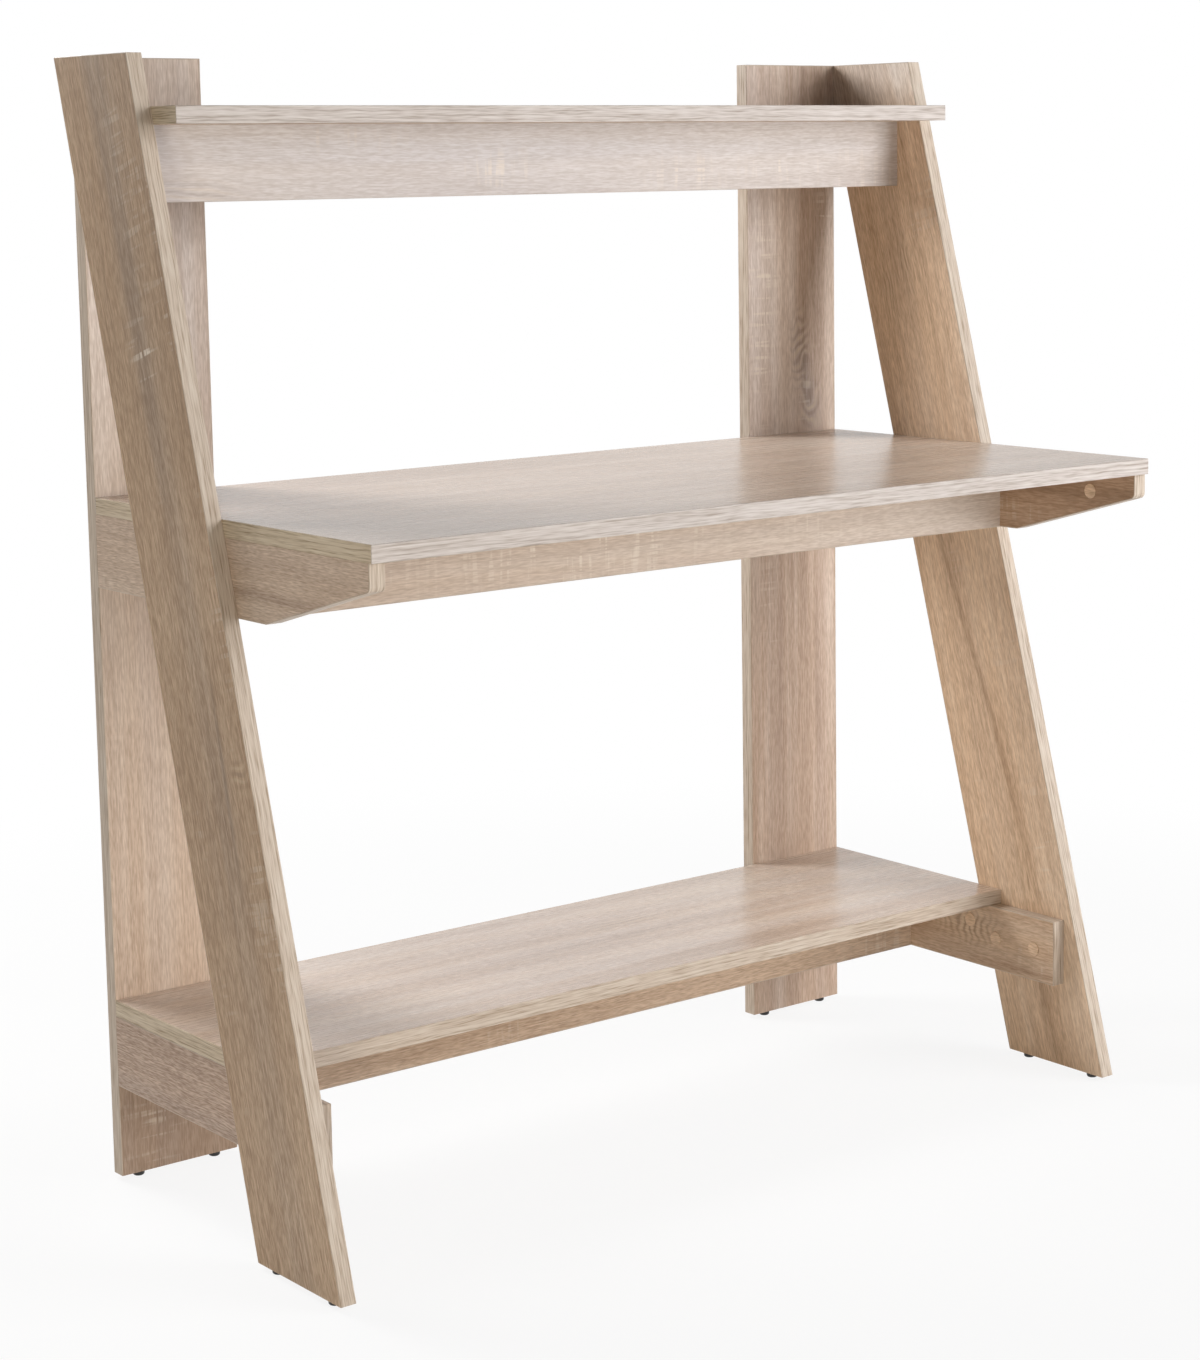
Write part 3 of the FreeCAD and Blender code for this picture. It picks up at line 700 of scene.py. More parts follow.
@dataclass(frozen=True)
class BandPrint:
    """The print on the edge bands: thin, slightly wavy dark lines along a creamy ground.

    Attributes:
        shade: Colours of the band.
        ripple: How far the lines ripple across the band, in metres.
    """

    shade: BandShade
    ripple: float = 0.0025

    def material(self) -> Material:
        """Builds the band's material, read along and across the band by its own map.

        Long lines and shorter flecks are noise that is stretched along the band and rippled.

        Returns:
            The material.
        """
        finish = Finish("oak_band_" + self.shade.name.lower())
        graph = finish.graph
        flat = graph.node("ShaderNodeUVMap", uv_map=BAND_MAP).outputs[0]
        sway = graph.math("MULTIPLY", graph.centred_noise(flat, SWIRL), self.ripple)
        grain = graph.vector("ADD", flat, graph.combine(0.0, sway, 0.0))
        lines = graph.noise(grain, BAND_LINES)
        flecks = graph.noise(grain, BAND_FLECKS)
        level = graph.math("MULTIPLY", graph.math("ADD", lines, flecks), 1 / 2)
        finish.set(
            base_color=graph.ramp(level, self.shade.value.stops(BAND_LEVELS)),
            specular_ior_level=0.25,
            roughness=graph.fade(level, *MOST_NOISE, to_low=0.52, to_high=0.42),
            normal=graph.bump(level, depth=0.0002, strength=0.12),
        )
        return finish.material


@dataclass(frozen=True)
class CastMetal:
    """Bare metal with a fine cast or drawn skin.

    Attributes:
        name: Name of the finish.
        dull: Colour of its dull places.
        bright: Colour of its bright places.
        mottle: Cycles per metre of the noise that mottles it.
        roughness: Its middle roughness.
        spread: How far the mottle varies the roughness.
    """

    name: str
    dull: Colour
    bright: Colour
    mottle: float
    roughness: float
    spread: float = 0.08

    def material(self) -> Material:
        """Builds the metal, mottled by noise."""
        finish = Finish(self.name)
        graph = finish.graph
        skin = graph.noise(finish.place(), (self.mottle,) * 3, detail=3.0, rough=0.6)
        rough = self.roughness + self.spread
        smooth = self.roughness - self.spread
        finish.set(
            base_color=graph.ramp(skin, ((0.35, self.dull), (0.65, self.bright))),
            metallic=1.0,
            roughness=graph.fade(skin, *MOST_NOISE, rough, smooth),
            normal=graph.bump(skin, depth=0.0001, strength=0.3),
        )
        return finish.material


@dataclass(frozen=True)
class BeechWood:
    """Plain turned beech with short dark flecks."""

    ground: Colour = tone(214, 178, 138)
    fleck: Colour = tone(172, 128, 90)

    def material(self) -> Material:
        """Builds the wood: even ground with noise flecks."""
        finish = Finish("beech")
        graph = finish.graph
        flecks = graph.noise(finish.place(), (500.0, 500.0, 500.0), detail=2.0, rough=0.6)
        finish.set(
            base_color=graph.ramp(flecks, ((0.36, self.fleck), (0.52, self.ground))),
            roughness=graph.fade(flecks, *MOST_NOISE, to_low=0.7, to_high=0.55),
        )
        return finish.material


@dataclass(frozen=True)
class MouldedPlastic:
    """Black moulded plastic, finely grained and scuffed paler where it rubs."""

    ground: Colour = tone(28, 26, 25)
    scuff: Colour = tone(62, 58, 54)

    def material(self) -> Material:
        """Builds the plastic: a fine mould grain with scuffs in broad noise patches."""
        finish = Finish("glide_plastic")
        graph = finish.graph
        place = finish.place()
        mould = graph.noise(place, (1600.0, 1600.0, 1600.0))
        worn = graph.noise(place, (220.0, 220.0, 500.0), detail=3.0, rough=0.65)
        finish.set(
            base_color=graph.mix(graph.fade(worn, low=0.52, high=0.72), self.ground, self.scuff),
            roughness=graph.fade(worn, low=0.4, high=0.7, to_low=0.38, to_high=0.6),
            normal=graph.bump(mould, depth=0.0001, strength=0.3),
        )
        return finish.material


@dataclass
class Surface:
    """A closed surface worked out on a grid: rows of points, each row a closed ring.

    Attributes:
        points: Array of rows, ring points and coordinates.
        rows: Map distance of each row, in metres.
        ring: Map distance of each ring point, in metres, with the ring's whole length at the end.
        finish: Finish of the surface.
    """

    points: np.ndarray
    rows: np.ndarray
    ring: np.ndarray
    finish: Material

    def outward(self) -> "Surface":
        """Gives the surface with its faces turned outwards.

        The sign of the enclosed volume, added up over all quads as cones from the middle, tells
        whether the rings run the wrong way round.

        Returns:
            The same surface, or one with its rings reversed.
        """
        near = self.points - self.points.mean((0, 1))
        first, second = near[:-1], np.roll(near, -1, 1)[:-1]
        third, fourth = np.roll(near, -1, 1)[1:], near[1:]
        volume = np.einsum("ijk,ijk->", np.cross(third - first, fourth - second), first + third)
        if volume > 0:
            return self
        ring = np.append(self.ring[-2] - self.ring[-2::-1], self.ring[-1])
        return Surface(self.points[:, ::-1], self.rows, ring, self.finish)

    def faces(self, start: int) -> list[list[int]]:
        """Lists the quads between the rows, then the two end faces.

        Args:
            start: Number of the surface's first vertex.

        Returns:
            Vertex numbers of each face.
        """
        count, size = self.points.shape[:2]
        index = start + np.arange(count * size).reshape(count, size)
        ahead = np.roll(index, -1, 1)
        quads = np.stack([index[:-1], ahead[:-1], ahead[1:], index[1:]], -1).reshape(-1, 4)
        return quads.tolist() + [index[0, ::-1].tolist(), index[-1].tolist()]

    def map_points(self) -> np.ndarray:
        """Gives the map coordinates of every face corner, in the order of the faces."""
        size = self.points.shape[1]
        across, along = np.meshgrid(self.ring, self.rows)
        grid = np.stack([along, across], -1)
        quads = np.stack([grid[:-1, :-1], grid[:-1, 1:], grid[1:, 1:], grid[1:, :-1]], 2)
        ends = np.concatenate([grid[0, :size][::-1], grid[-1, :size]])
        return np.concatenate([quads.reshape(-1, 2), ends])


def join_surfaces(name: str, surfaces: Sequence[Surface]) -> bpy.types.Object:
    """Makes one object of several closed surfaces, each with its own finish.

    Args:
        name: Name of the object.
        surfaces: The surfaces.

    Returns:
        The object, at the origin.
    """
    turned_out = [surface.outward() for surface in surfaces]
    sizes = [surface.points.shape[0] * surface.points.shape[1] for surface in turned_out]
    starts = np.concatenate([[0], np.cumsum(sizes)])
    points = np.concatenate([surface.points.reshape(-1, 3) for surface in turned_out])
    parts = [surface.faces(int(start)) for surface, start in zip(turned_out, starts)]
    faces = [face for part in parts for face in part]
    mesh = bpy.data.meshes.new(name)
    mesh.from_pydata(points.tolist(), [], faces)
    mesh.polygons.foreach_set("use_smooth", np.ones(len(faces), bool))
    mesh.set_sharp_from_angle(angle=SMOOTH_ANGLE)
    corners = np.concatenate([surface.map_points() for surface in turned_out])
    mesh.uv_layers.new(name=BAND_MAP).data.foreach_set("uv", corners.astype(np.float32).ravel())
    finishes = list(dict.fromkeys(surface.finish for surface in turned_out))
    for finish in finishes:
        mesh.materials.append(finish)
    picks = [finishes.index(surface.finish) for surface in turned_out]
    mesh.polygons.foreach_set("material_index", np.repeat(picks, [len(part) for part in parts]))
    return add_object(name, mesh)


def running_length(points: np.ndarray) -> np.ndarray:
    """Gives the distance from the first point to each point, along the points."""
    steps = np.linalg.norm(np.diff(points, axis=0), axis=1)
    return np.concatenate([[0.0], np.cumsum(steps)])


def quarter_round(radius: float, steps: int) -> np.ndarray:
    """Gives a quarter circle between two edges, as pairs of distances from the one and the other.

    Args:
        radius: Radius of the circle.
        steps: Number of points.

    Returns:
        Array of pairs, from the end on the second edge to the end on the first.
    """
    angle = np.linspace(0, np.pi / 2, steps)
    return radius * (1 - np.stack([np.sin(angle), np.cos(angle)], 1))


@dataclass
class EdgeBand:
    """A band glued to a board's edge: a thin section with round outer arrises, carried along a path.

    Attributes:
        path: Points along the middle of the band's outer face.
        inward: Step into the board at each point, for one unit of thickness.
        through: Unit vector through the board's thickness.
        width: Thickness of the board.
        print_place: Where along the printed roll the band was cut, in metres.
        finish: Finish of the band.
        thickness: Thickness of the band.
        arris: Radius of the outer arrises.
        seam: Chamfer along the glue line.
        ease: Chamfer at the cut ends.
        flat_start: Where the flat of the outer face starts past the arris, in arris radii.
        steps: Points of a rounded arris.
    """

    path: np.ndarray
    inward: np.ndarray
    through: np.ndarray
    width: float
    print_place: float
    finish: Material
    thickness: float = 0.001
    arris: float = 0.0006
    seam: float = 0.00012
    ease: float = 0.0003
    flat_start: float = 0.5
    steps: int = 5

    def section(self) -> np.ndarray:
        """Gives the closed section as pairs of depth and height.

        The outer corners are quarter circles of the arris radius, and the inner corners are cut
        back by the seam.

        Returns:
            Array of points, in order round the section.
        """
        half = self.width / 2
        low = quarter_round(self.arris, self.steps) - [0.0, half]
        low = np.vstack([low, [0.0, self.arris * (1 + self.flat_start) - half]])
        high = np.stack([low[:, 0], -low[:, 1]], 1)[::-1]
        upper = [[self.thickness - self.seam, half], [self.thickness, half - self.seam]]
        lower = [[self.thickness, self.seam - half], [self.thickness - self.seam, -half]]
        return np.concatenate([low, high, upper, lower])

    def surface(self) -> Surface:
        """Carries the section along the path, drawn in at both ends by the ease.

        Returns:
            The band's surface.
        """
        first = self.path[1] - self.path[0]
        last = self.path[-2] - self.path[-1]
        near_first = self.path[0] + first * (self.ease / np.linalg.norm(first))
        near_last = self.path[-1] + last * (self.ease / np.linalg.norm(last))
        path = np.vstack([self.path[0], near_first, self.path[1:-1], near_last, self.path[-1]])
        inward = np.vstack([self.inward[0], self.inward, self.inward[-1]])
        drawn_in = np.zeros((len(path), 1))
        drawn_in[[0, -1]] = self.ease
        section = self.section()
        half = self.width / 2
        depth = np.clip(section[:, 0], drawn_in, self.thickness - drawn_in)
        height = np.clip(section[:, 1], drawn_in - half, half - drawn_in)
        points = path[:, None] + inward[:, None] * depth[..., None] + self.through * height[..., None]
        ring = running_length(np.vstack([section, section[:1]]))
        return Surface(points, running_length(path) + self.print_place, ring, self.finish)


@dataclass
class FacedBoard:
    """A board of the frame, with its oak print and the bands glued to its edges.

    Attributes:
        node: Name of the board in the frame.
        decor: How the oak print lies on it.
        band_finish: Finish of its edge bands.
        band: Thickness of the bands.
        roll_step: Metres along the band's roll for each unit of the print's seed.
    """

    node: str
    decor: OakPrint
    band_finish: Material
    band: float = 0.001
    roll_step: float = 1.7

    def corners(self) -> tuple[np.ndarray, np.ndarray]:
        """Gives the lowest and highest corner of the board and its bands together."""
        boxes = [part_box(self.node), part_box(self.node + "_edging")]
        low = np.min([box[0] for box in boxes], axis=0)
        high = np.max([box[1] for box in boxes], axis=0)
        return low, high

    def straight(self, start: Triple, end: Triple, inward: Triple, through: Triple) -> EdgeBand:
        """Makes a straight band.

        Args:
            start: Middle of the outer face at one end.
            end: Middle of the outer face at the other end.
            inward: Step into the board for one unit of thickness.
            through: Direction through the board's thickness.

        Returns:
            The band.
        """
        low, high = self.corners()
        path = np.array([start, end], float)
        width = float(np.abs((high - low) @ np.array(through)))
        place = self.decor.seed * self.roll_step + float(np.abs(path[0]).sum())
        steps = np.tile(np.array(inward, float), (2, 1))
        return EdgeBand(path, steps, np.array(through), width, place, self.band_finish)

    def bands(self) -> list[EdgeBand]:
        """Lists the board's edge bands."""
        raise NotImplementedError

    def build(self) -> bpy.types.Object:
        """Makes the board's edge bands as one piece that stands for those of the frame.

        Returns:
            The piece.
        """
        surfaces = [band.surface() for band in self.bands()]
        piece = join_surfaces(self.node + "_bands", surfaces)
        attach(piece, "root")
        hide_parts(self.node + "_edging")
        return piece

    def dress(self) -> None:
        """Gives the board its oak print."""
        put_finish(self.node, self.decor.material(self.node + "_oak"))


def put_finish(node: str, material: Material) -> None:
    """Puts a finish on every face of a node of the frame."""
    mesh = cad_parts[node].data
    mesh.materials.clear()
    mesh.materials.append(material)


@dataclass
class Shelf(FacedBoard):
    """A level panel between the legs, banded all round.

    Attributes:
        shaded_end_finish: Finish of the bands on its ends, a copy of the band recoloured for the
            light on the ends: painted light and shade.
    """

    shaded_end_finish: Union[Material, None] = None

    def bands(self) -> list[EdgeBand]:
        """Lists the long bands, which run the full length, and the end bands between them."""
        low, high = self.corners()
        mid = (low[2] + high[2]) / 2
        made = []
        for y, step in ((low[1], 1.0), (high[1], -1.0)):
            made.append(self.straight((low[0], y, mid), (high[0], y, mid), (0.0, step, 0.0), Z_AXIS))
        front, back = low[1] + self.band, high[1] - self.band
        for x, step in ((low[0], 1.0), (high[0], -1.0)):
            end = self.straight((x, front, mid), (x, back, mid), (step, 0.0, 0.0), Z_AXIS)
            made.append(replace(end, finish=self.shaded_end_finish))
        return made


class CrossRail(FacedBoard):
    """A rail on edge under a shelf, banded along its lower edge."""

    def bands(self) -> list[EdgeBand]:
        """Lists the one band."""
        low, high = self.corners()
        mid = (low[1] + high[1]) / 2
        return [self.straight((low[0], mid, low[2]), (high[0], mid, low[2]), Z_AXIS, Y_AXIS)]


class RearLeg(FacedBoard):
    """An upright leg, banded up both edges and over its top."""

    def bands(self) -> list[EdgeBand]:
        """Lists the two upright bands and the top band between them."""
        low, high = self.corners()
        mid = (low[1] + high[1]) / 2
        made = []
        for x, step in ((low[0], 1.0), (high[0], -1.0)):
            made.append(self.straight((x, mid, low[2]), (x, mid, high[2]), (step, 0.0, 0.0), Y_AXIS))
        left, right = low[0] + self.band, high[0] - self.band
        down = (0.0, 0.0, -1.0)
        made.append(self.straight((left, mid, high[2]), (right, mid, high[2]), down, Y_AXIS))
        return made


@dataclass
class FrontLeg(FacedBoard):
    """A leaning leg with level ends, banded along both edges and over its top.

    Attributes:
        run: How far the foot stands forward of the top.
    """

    run: float = 0.334

    def bands(self) -> list[EdgeBand]:
        """Lists the two leaning bands and the top band between them."""
        low, high = self.corners()
        mid = (low[0] + high[0]) / 2
        lean = self.run / (high[2] - low[2])
        slant = math.hypot(1.0, lean)
        made = []
        for y, step in ((low[1], slant), (high[1] - self.run, -slant)):
            foot = (mid, y, low[2])
            made.append(self.straight(foot, (mid, y + self.run, high[2]), (0.0, step, 0.0), X_AXIS))
        front = low[1] + self.run + self.band * slant
        back = high[1] - self.band * slant
        down = (0.0, -lean, -1.0)
        made.append(self.straight((mid, front, high[2]), (mid, back, high[2]), down, X_AXIS))
        return made


@dataclass
class DeskBracket(FacedBoard):
    """A side rail under the desk top, tapered to a rounded front, with one band round it.

    Attributes:
        knee_gap: From the rail between the brackets to where the taper starts.
        front_height: Height left at the front end.
        corner: Radius of the lower front corner.
        corner_steps: Points along that corner.
    """

    knee_gap: float = 0.0275
    front_height: float = 0.027
    corner: float = 0.007
    corner_steps: int = 9

    def bands(self) -> list[EdgeBand]:
        """Lists the one band: along the bottom, up the taper, round the corner and up the front.

        The corner is an arc that meets the taper and the front edge at a tangent. At each point
        the band is thickened along the mitre of the two edges that meet there.

        Returns:
            The band.
        """
        low, high = self.corners()
        knee = np.array([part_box("desk_rail")[0][1] - self.knee_gap, low[2]])
        tip = np.array([low[1], high[2] - self.front_height])
        taper = (tip - knee) / np.linalg.norm(tip - knee)
        turn = math.acos(taper[1])
        start = tip - taper * self.corner * math.tan(turn / 2)
        into = np.array([taper[1], -taper[0]])
        angle = np.linspace(0, turn, self.corner_steps)[:, None]
        arc = start + self.corner * (into * (1 - np.cos(angle)) + taper * np.sin(angle))
        outline = np.vstack([[high[1], low[2]], knee, arc, [low[1], high[2]]])
        edges = np.diff(outline, axis=0)
        normals = np.stack([edges[:, 1], -edges[:, 0]], 1) / np.linalg.norm(edges, axis=1)[:, None]
        before, after = np.vstack([normals[0], normals]), np.vstack([normals, normals[-1]])
        mitres = (before + after) / (1 + np.sum(before * after, 1))[:, None]
        mid = np.full((len(outline), 1), (low[0] + high[0]) / 2)
        path = np.hstack([mid, outline])
        inward = np.hstack([np.zeros_like(mid), mitres])
        width = high[0] - low[0]
        return [EdgeBand(path, inward, np.array(X_AXIS), width, self.decor.seed, self.band_finish)]


class SideRail(FacedBoard):
    """A side rail under the lower shelf, banded on its long edges and its front end."""

    def bands(self) -> list[EdgeBand]:
        """Lists the two long bands and the front band between them."""
        low, high = self.corners()
        mid = (low[0] + high[0]) / 2
        made = []
        for z, step in ((low[2], 1.0), (high[2], -1.0)):
            made.append(self.straight((mid, low[1], z), (mid, high[1], z), (0.0, 0.0, step), X_AXIS))
        bottom, top = low[2] + self.band, high[2] - self.band
        made.append(self.straight((mid, low[1], bottom), (mid, low[1], top), Y_AXIS, X_AXIS))
        return made


def split_solids(points: np.ndarray, gap: float) -> list[np.ndarray]:
    """Groups the points of solids that lie apart.

    The points are sorted along one axis after another, and cut wherever two neighbours lie further
    apart than the gap, until no axis cuts a group again.

    Args:
        points: Points of all the solids.
        gap: Least distance between two solids.

    Returns:
        The points of each solid.
    """
    for axis in range(3):
        ordered = points[np.argsort(points[:, axis])]
        cuts = np.flatnonzero(np.diff(ordered[:, axis]) > gap) + 1
        if len(cuts):
            return [solid for part in np.split(ordered, cuts) for solid in split_solids(part, gap)]
    return [points]


def node_solids(node: str, gap: float = 0.004) -> list[np.ndarray]:
    """Gives the points of each separate solid of a node of the frame."""
    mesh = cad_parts[node].data
    points = np.zeros(len(mesh.vertices) * 3, np.float32)
    mesh.vertices.foreach_get("co", points)
    return split_solids(points.reshape(-1, 3).astype(float), gap)


# Points round a turned piece, and along the curves of the caps' and glides' profiles
TURN_STEPS = 48
SHOULDER_STEPS = 6
CROWN_STEPS = 8
DISH_STEPS = 5
HEEL_STEPS = 9


def turned(
    profile: np.ndarray, seat: np.ndarray, axis: Triple, side: Triple, finish: Material
) -> Surface:
    """Turns a profile of radius and height about an axis.

    Args:
        profile: Pairs of radius and height, from one end to the other.
        seat: Point on the axis at height 0.
        axis: Unit vector along which the height is measured.
        side: Unit vector square to the axis.
        finish: Finish of the surface.

    Returns:
        The turned surface.
    """
    angle = np.linspace(0, 2 * np.pi, TURN_STEPS, endpoint=False)
    spoke = np.cos(angle)[:, None] * np.array(side) + np.sin(angle)[:, None] * np.cross(axis, side)
    points = seat + profile[:, None, :1] * spoke + profile[:, None, 1:] * np.array(axis)
    ring = np.linspace(0, 2 * np.pi * profile[:, 0].max(), TURN_STEPS + 1)
    return Surface(points, running_length(profile), ring, finish)


@dataclass
class CoverCaps:
    """Crowned caps over the bolts and cams on the inner faces of the side rails and brackets.

    Attributes:
        finish: Finish of the caps.
        radius: Outer radius.
        rim: Height of the rim.
        crown: Height in the middle.
        rounding: Radius of the rim's rounding.
        middle: Radius of the small flat in the middle.
    """

    finish: Material
    radius: float = 0.0085
    rim: float = 0.0012
    crown: float = 0.0015
    rounding: float = 0.0007
    middle: float = 0.0004

    def profile(self) -> np.ndarray:
        """Gives a cap's profile: a straight rim, a round shoulder and a parabolic crown."""
        top_radius = self.radius - self.rounding
        shoulder = [self.radius, self.rim] - quarter_round(self.rounding, SHOULDER_STEPS)[:, ::-1]
        reach = np.linspace(top_radius, self.middle, CROWN_STEPS)[1:]
        rise = (self.crown - self.rim) * (1 - (reach / top_radius) ** 2)
        base = [[self.middle, 0.0], [self.radius, 0.0]]
        return np.vstack([base, shoulder, np.stack([reach, self.rim + rise], 1)])

    def build(self) -> bpy.types.Object:
        """Makes all the caps as one piece that stands for those of the frame.

        Returns:
            The piece.
        """
        surfaces = []
        face = abs(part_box("desk_bracket_right")[0][0])
        for solid in node_solids("cover_caps"):
            middle = (solid.min(0) + solid.max(0)) / 2
            side = math.copysign(1.0, middle[0])
            seat = np.array([side * face, middle[1], middle[2]])
            surfaces.append(turned(self.profile(), seat, (-side, 0.0, 0.0), Y_AXIS, self.finish))
        piece = join_surfaces("cover_caps_crowned", surfaces)
        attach(piece, "root")
        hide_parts("cover_caps")
        return piece


@dataclass
class FloorGlides:
    """Press-in glides under the legs: a round foot with a waist groove and a dished sole.

    Attributes:
        finish: Finish of the glides.
        radius: Outer radius.
        height: Height of the foot.
        rounding: Radius of the sole's rounding.
        groove: Depth of the groove under the leg.
        groove_height: Height of that groove.
        dish: How far the middle of the sole is hollowed.
        dish_radius: Radius of the hollow.
        middle: Radius of the small flat in the middle of both ends.
    """

    finish: Material
    radius: float = 0.0065
    height: float = 0.006
    rounding: float = 0.0025
    groove: float = 0.0005
    groove_height: float = 0.0008
    dish: float = 0.0006
    dish_radius: float = 0.0022
    middle: float = 0.0003

    def profile(self) -> np.ndarray:
        """Gives a glide's profile from the dished sole, round the foot, to the groove at the leg."""
        reach = np.linspace(self.middle, self.dish_radius, DISH_STEPS)
        hollow = np.stack([reach, self.dish * (1 - (reach / self.dish_radius) ** 2)], 1)
        heel = quarter_round(self.rounding, HEEL_STEPS) * [-1.0, 1.0] + [self.radius, 0.0]
        waist = self.height - self.groove_height
        upper = [
            [self.radius, waist - self.groove],
            [self.radius - self.groove, waist],
            [self.radius - self.groove, self.height],
            [self.middle, self.height],
        ]
        return np.vstack([hollow, heel, upper])

    def build(self) -> bpy.types.Object:
        """Makes all the glides as one piece that stands for those of the frame.

        Returns:
            The piece.
        """
        surfaces = []
        for solid in node_solids("glides"):
            middle = (solid.min(0) + solid.max(0)) / 2
            seat = np.array([middle[0], middle[1], solid[:, 2].min()])
            surfaces.append(turned(self.profile(), seat, Z_AXIS, X_AXIS, self.finish))
        piece = join_surfaces("floor_glides", surfaces)
        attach(piece, "root")
        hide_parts("glides")
        return piece


WHITE_LIGHT: Triple = (1.0, 1.0, 1.0)
WARM_LIGHT: Triple = (1.0, 0.91, 0.74)
PLAIN_WHITE: Colour = (1.0, 1.0, 1.0, 1.0)
MATTE_WHITE: Colour = (0.92, 0.92, 0.92, 1.0)


@dataclass(frozen=True)
class Softbox:
    """A square studio lamp.

    Attributes:
        name: Name of the lamp.
        stand: Where it stands.
        side: Length of its side.
        power: Power in watts.
        colour: Colour of its light.
        aim: Where it points: the middle of the desk.
    """

    name: str
    stand: Triple
    side: float
    power: float
    colour: Triple = WHITE_LIGHT
    aim: Triple = (0.0, 0.0, 0.6)

    def build(self) -> None:
        """Sets up the lamp, unseen by the camera itself."""
        light = bpy.data.lights.new(self.name, "AREA")
        light.shape = "SQUARE"
        light.size = self.side
        light.energy = self.power
        light.color = self.colour
        lamp = add_object(self.name, light)
        lamp.location = self.stand
        ahead = Vector(self.aim) - Vector(self.stand)
        lamp.rotation_euler = ahead.to_track_quat("-Z", "Y").to_euler()
        lamp.visible_camera = False


LAMPS = (
    Softbox("key", (2.3, -2.9, 1.5), 2.4, 113.0),
    Softbox("high", (2.3, -2.9, 2.8), 1.6, 14.0),
    Softbox("low_left", (-2.6, -2.2, 0.45), 0.8, 23.5, WARM_LIGHT),
    Softbox("rear", (-0.5, 1.2, 1.7), 0.6, 10.0),
    Softbox("rear_far", (-0.9, 1.8, 1.95), 0.8, 25.0),
    Softbox("rear_right", (0.6, 3.2, 2.4), 1.4, 14.0),
)


@dataclass(frozen=True)
class PhotoCamera:
    """The camera of the photograph: where it stood and how it was turned.

    Attributes:
        stand: Position in metres.
        yaw: Turn from +Y towards +X, in radians.
        pitch: Tilt below the horizon, in radians.
        roll: Turn about the view axis, in radians.
        focal: Focal length in pixels.
        centre: Pixel that the view axis meets.
        image: Width and height of the photograph in pixels.
        sensor: Length of the sensor's long side in millimetres.
    """

    stand: Triple = (-1.98656, -2.50416, 1.10875)
    yaw: float = 0.6717
    pitch: float = 0.1404
    roll: float = 0.0141
    focal: float = 2899.16
    centre: tuple[float, float] = (640.92, 566.84)
    image: tuple[int, int] = (1200, 1360)
    sensor: float = 36.0

    def build(self) -> None:
        """Sets up the camera and makes it the scene's camera."""
        ahead = np.array(
            [
                math.sin(self.yaw) * math.cos(self.pitch),
                math.cos(self.yaw) * math.cos(self.pitch),
                -math.sin(self.pitch),
            ]
        )
        level = np.array([math.cos(self.yaw), -math.sin(self.yaw), 0.0])
        down = np.cross(ahead, level)
        right = math.cos(self.roll) * level + math.sin(self.roll) * down
        up = math.sin(self.roll) * level - math.cos(self.roll) * down
        turn = Matrix(np.stack([right, up, -ahead], 1).tolist()).to_4x4()
        long_side = max(self.image)
        lens = bpy.data.cameras.new("photo_camera")
        lens.sensor_width = self.sensor
        lens.lens = self.focal / long_side * self.sensor
        lens.shift_x = (self.image[0] / 2 - self.centre[0]) / long_side
        lens.shift_y = (self.centre[1] - self.image[1] / 2) / long_side
        camera = add_object("photo_camera", lens)
        camera.matrix_world = Matrix.Translation(self.stand) @ turn
        bpy.context.scene.camera = camera


@dataclass
class Studio:
    """A white studio: a pale floor that keeps a soft shadow, a white surround and softboxes.

    Attributes:
        half_floor: Half of the floor's side.
        near: Distance from the desk at which the floor starts to fade to plain white.
        far: Distance at which it is plain white.
        veil: Share of plain white beside the desk.
        ambient: Level of the surround as a light.
        softboxes: The lamps.
    """

    half_floor: float = 8.0
    near: float = 0.9
    far: float = 2.0
    veil: float = 0.88
    ambient: float = 0.125
    softboxes: tuple[Softbox, ...] = LAMPS

    def build(self) -> None:
        """Sets up the floor, the surround and the lamps."""
        self.lay_floor()
        self.hang_surround()
        for softbox in self.softboxes:
            softbox.build()
        bpy.context.scene.view_settings.view_transform = "Standard"

    def lay_floor(self) -> None:
        """Lays the floor: matte white by the desk, plain white further off for rays that see it."""
        half = self.half_floor
        corners = [(-half, -half, 0.0), (half, -half, 0.0), (half, half, 0.0), (-half, half, 0.0)]
        mesh = bpy.data.meshes.new("studio_floor")
        mesh.from_pydata(corners, [], [[0, 1, 2, 3]])
        material = bpy.data.materials.new("studio_floor")
        material.use_nodes = True
        graph = Graph(material.node_tree)
        matte = graph.node("ShaderNodeBsdfDiffuse")
        graph.feed(matte.inputs["Color"], MATTE_WHITE)
        white = graph.node("ShaderNodeEmission")
        place = graph.node("ShaderNodeTexCoord").outputs["Object"]
        cover = graph.fade(graph.vector("LENGTH", place), self.near, self.far, to_low=self.veil)
        blended = graph.blend(graph.math("MULTIPLY", graph.seen(), cover), matte, white)
        graph.feed(graph.tree.nodes["Material Output"].inputs["Surface"], blended)
        mesh.materials.append(material)
        floor = add_object("studio_floor", mesh)

    def hang_surround(self) -> None:
        """Makes the surround: plain white where it is seen, and a soft level of light elsewhere."""
        world = bpy.data.worlds.new("studio_surround")
        world.use_nodes = True
        bpy.context.scene.world = world
        graph = Graph(world.node_tree)
        soft = graph.tree.nodes["Background"]
        white = graph.node("ShaderNodeBackground")
        for background in (soft, white):
            graph.feed(background.inputs["Color"], PLAIN_WHITE)
        graph.feed(soft.inputs["Strength"], self.ambient)
        blended = graph.blend(graph.seen(), soft, white)
        graph.feed(graph.tree.nodes["World Output"].inputs["Surface"], blended)


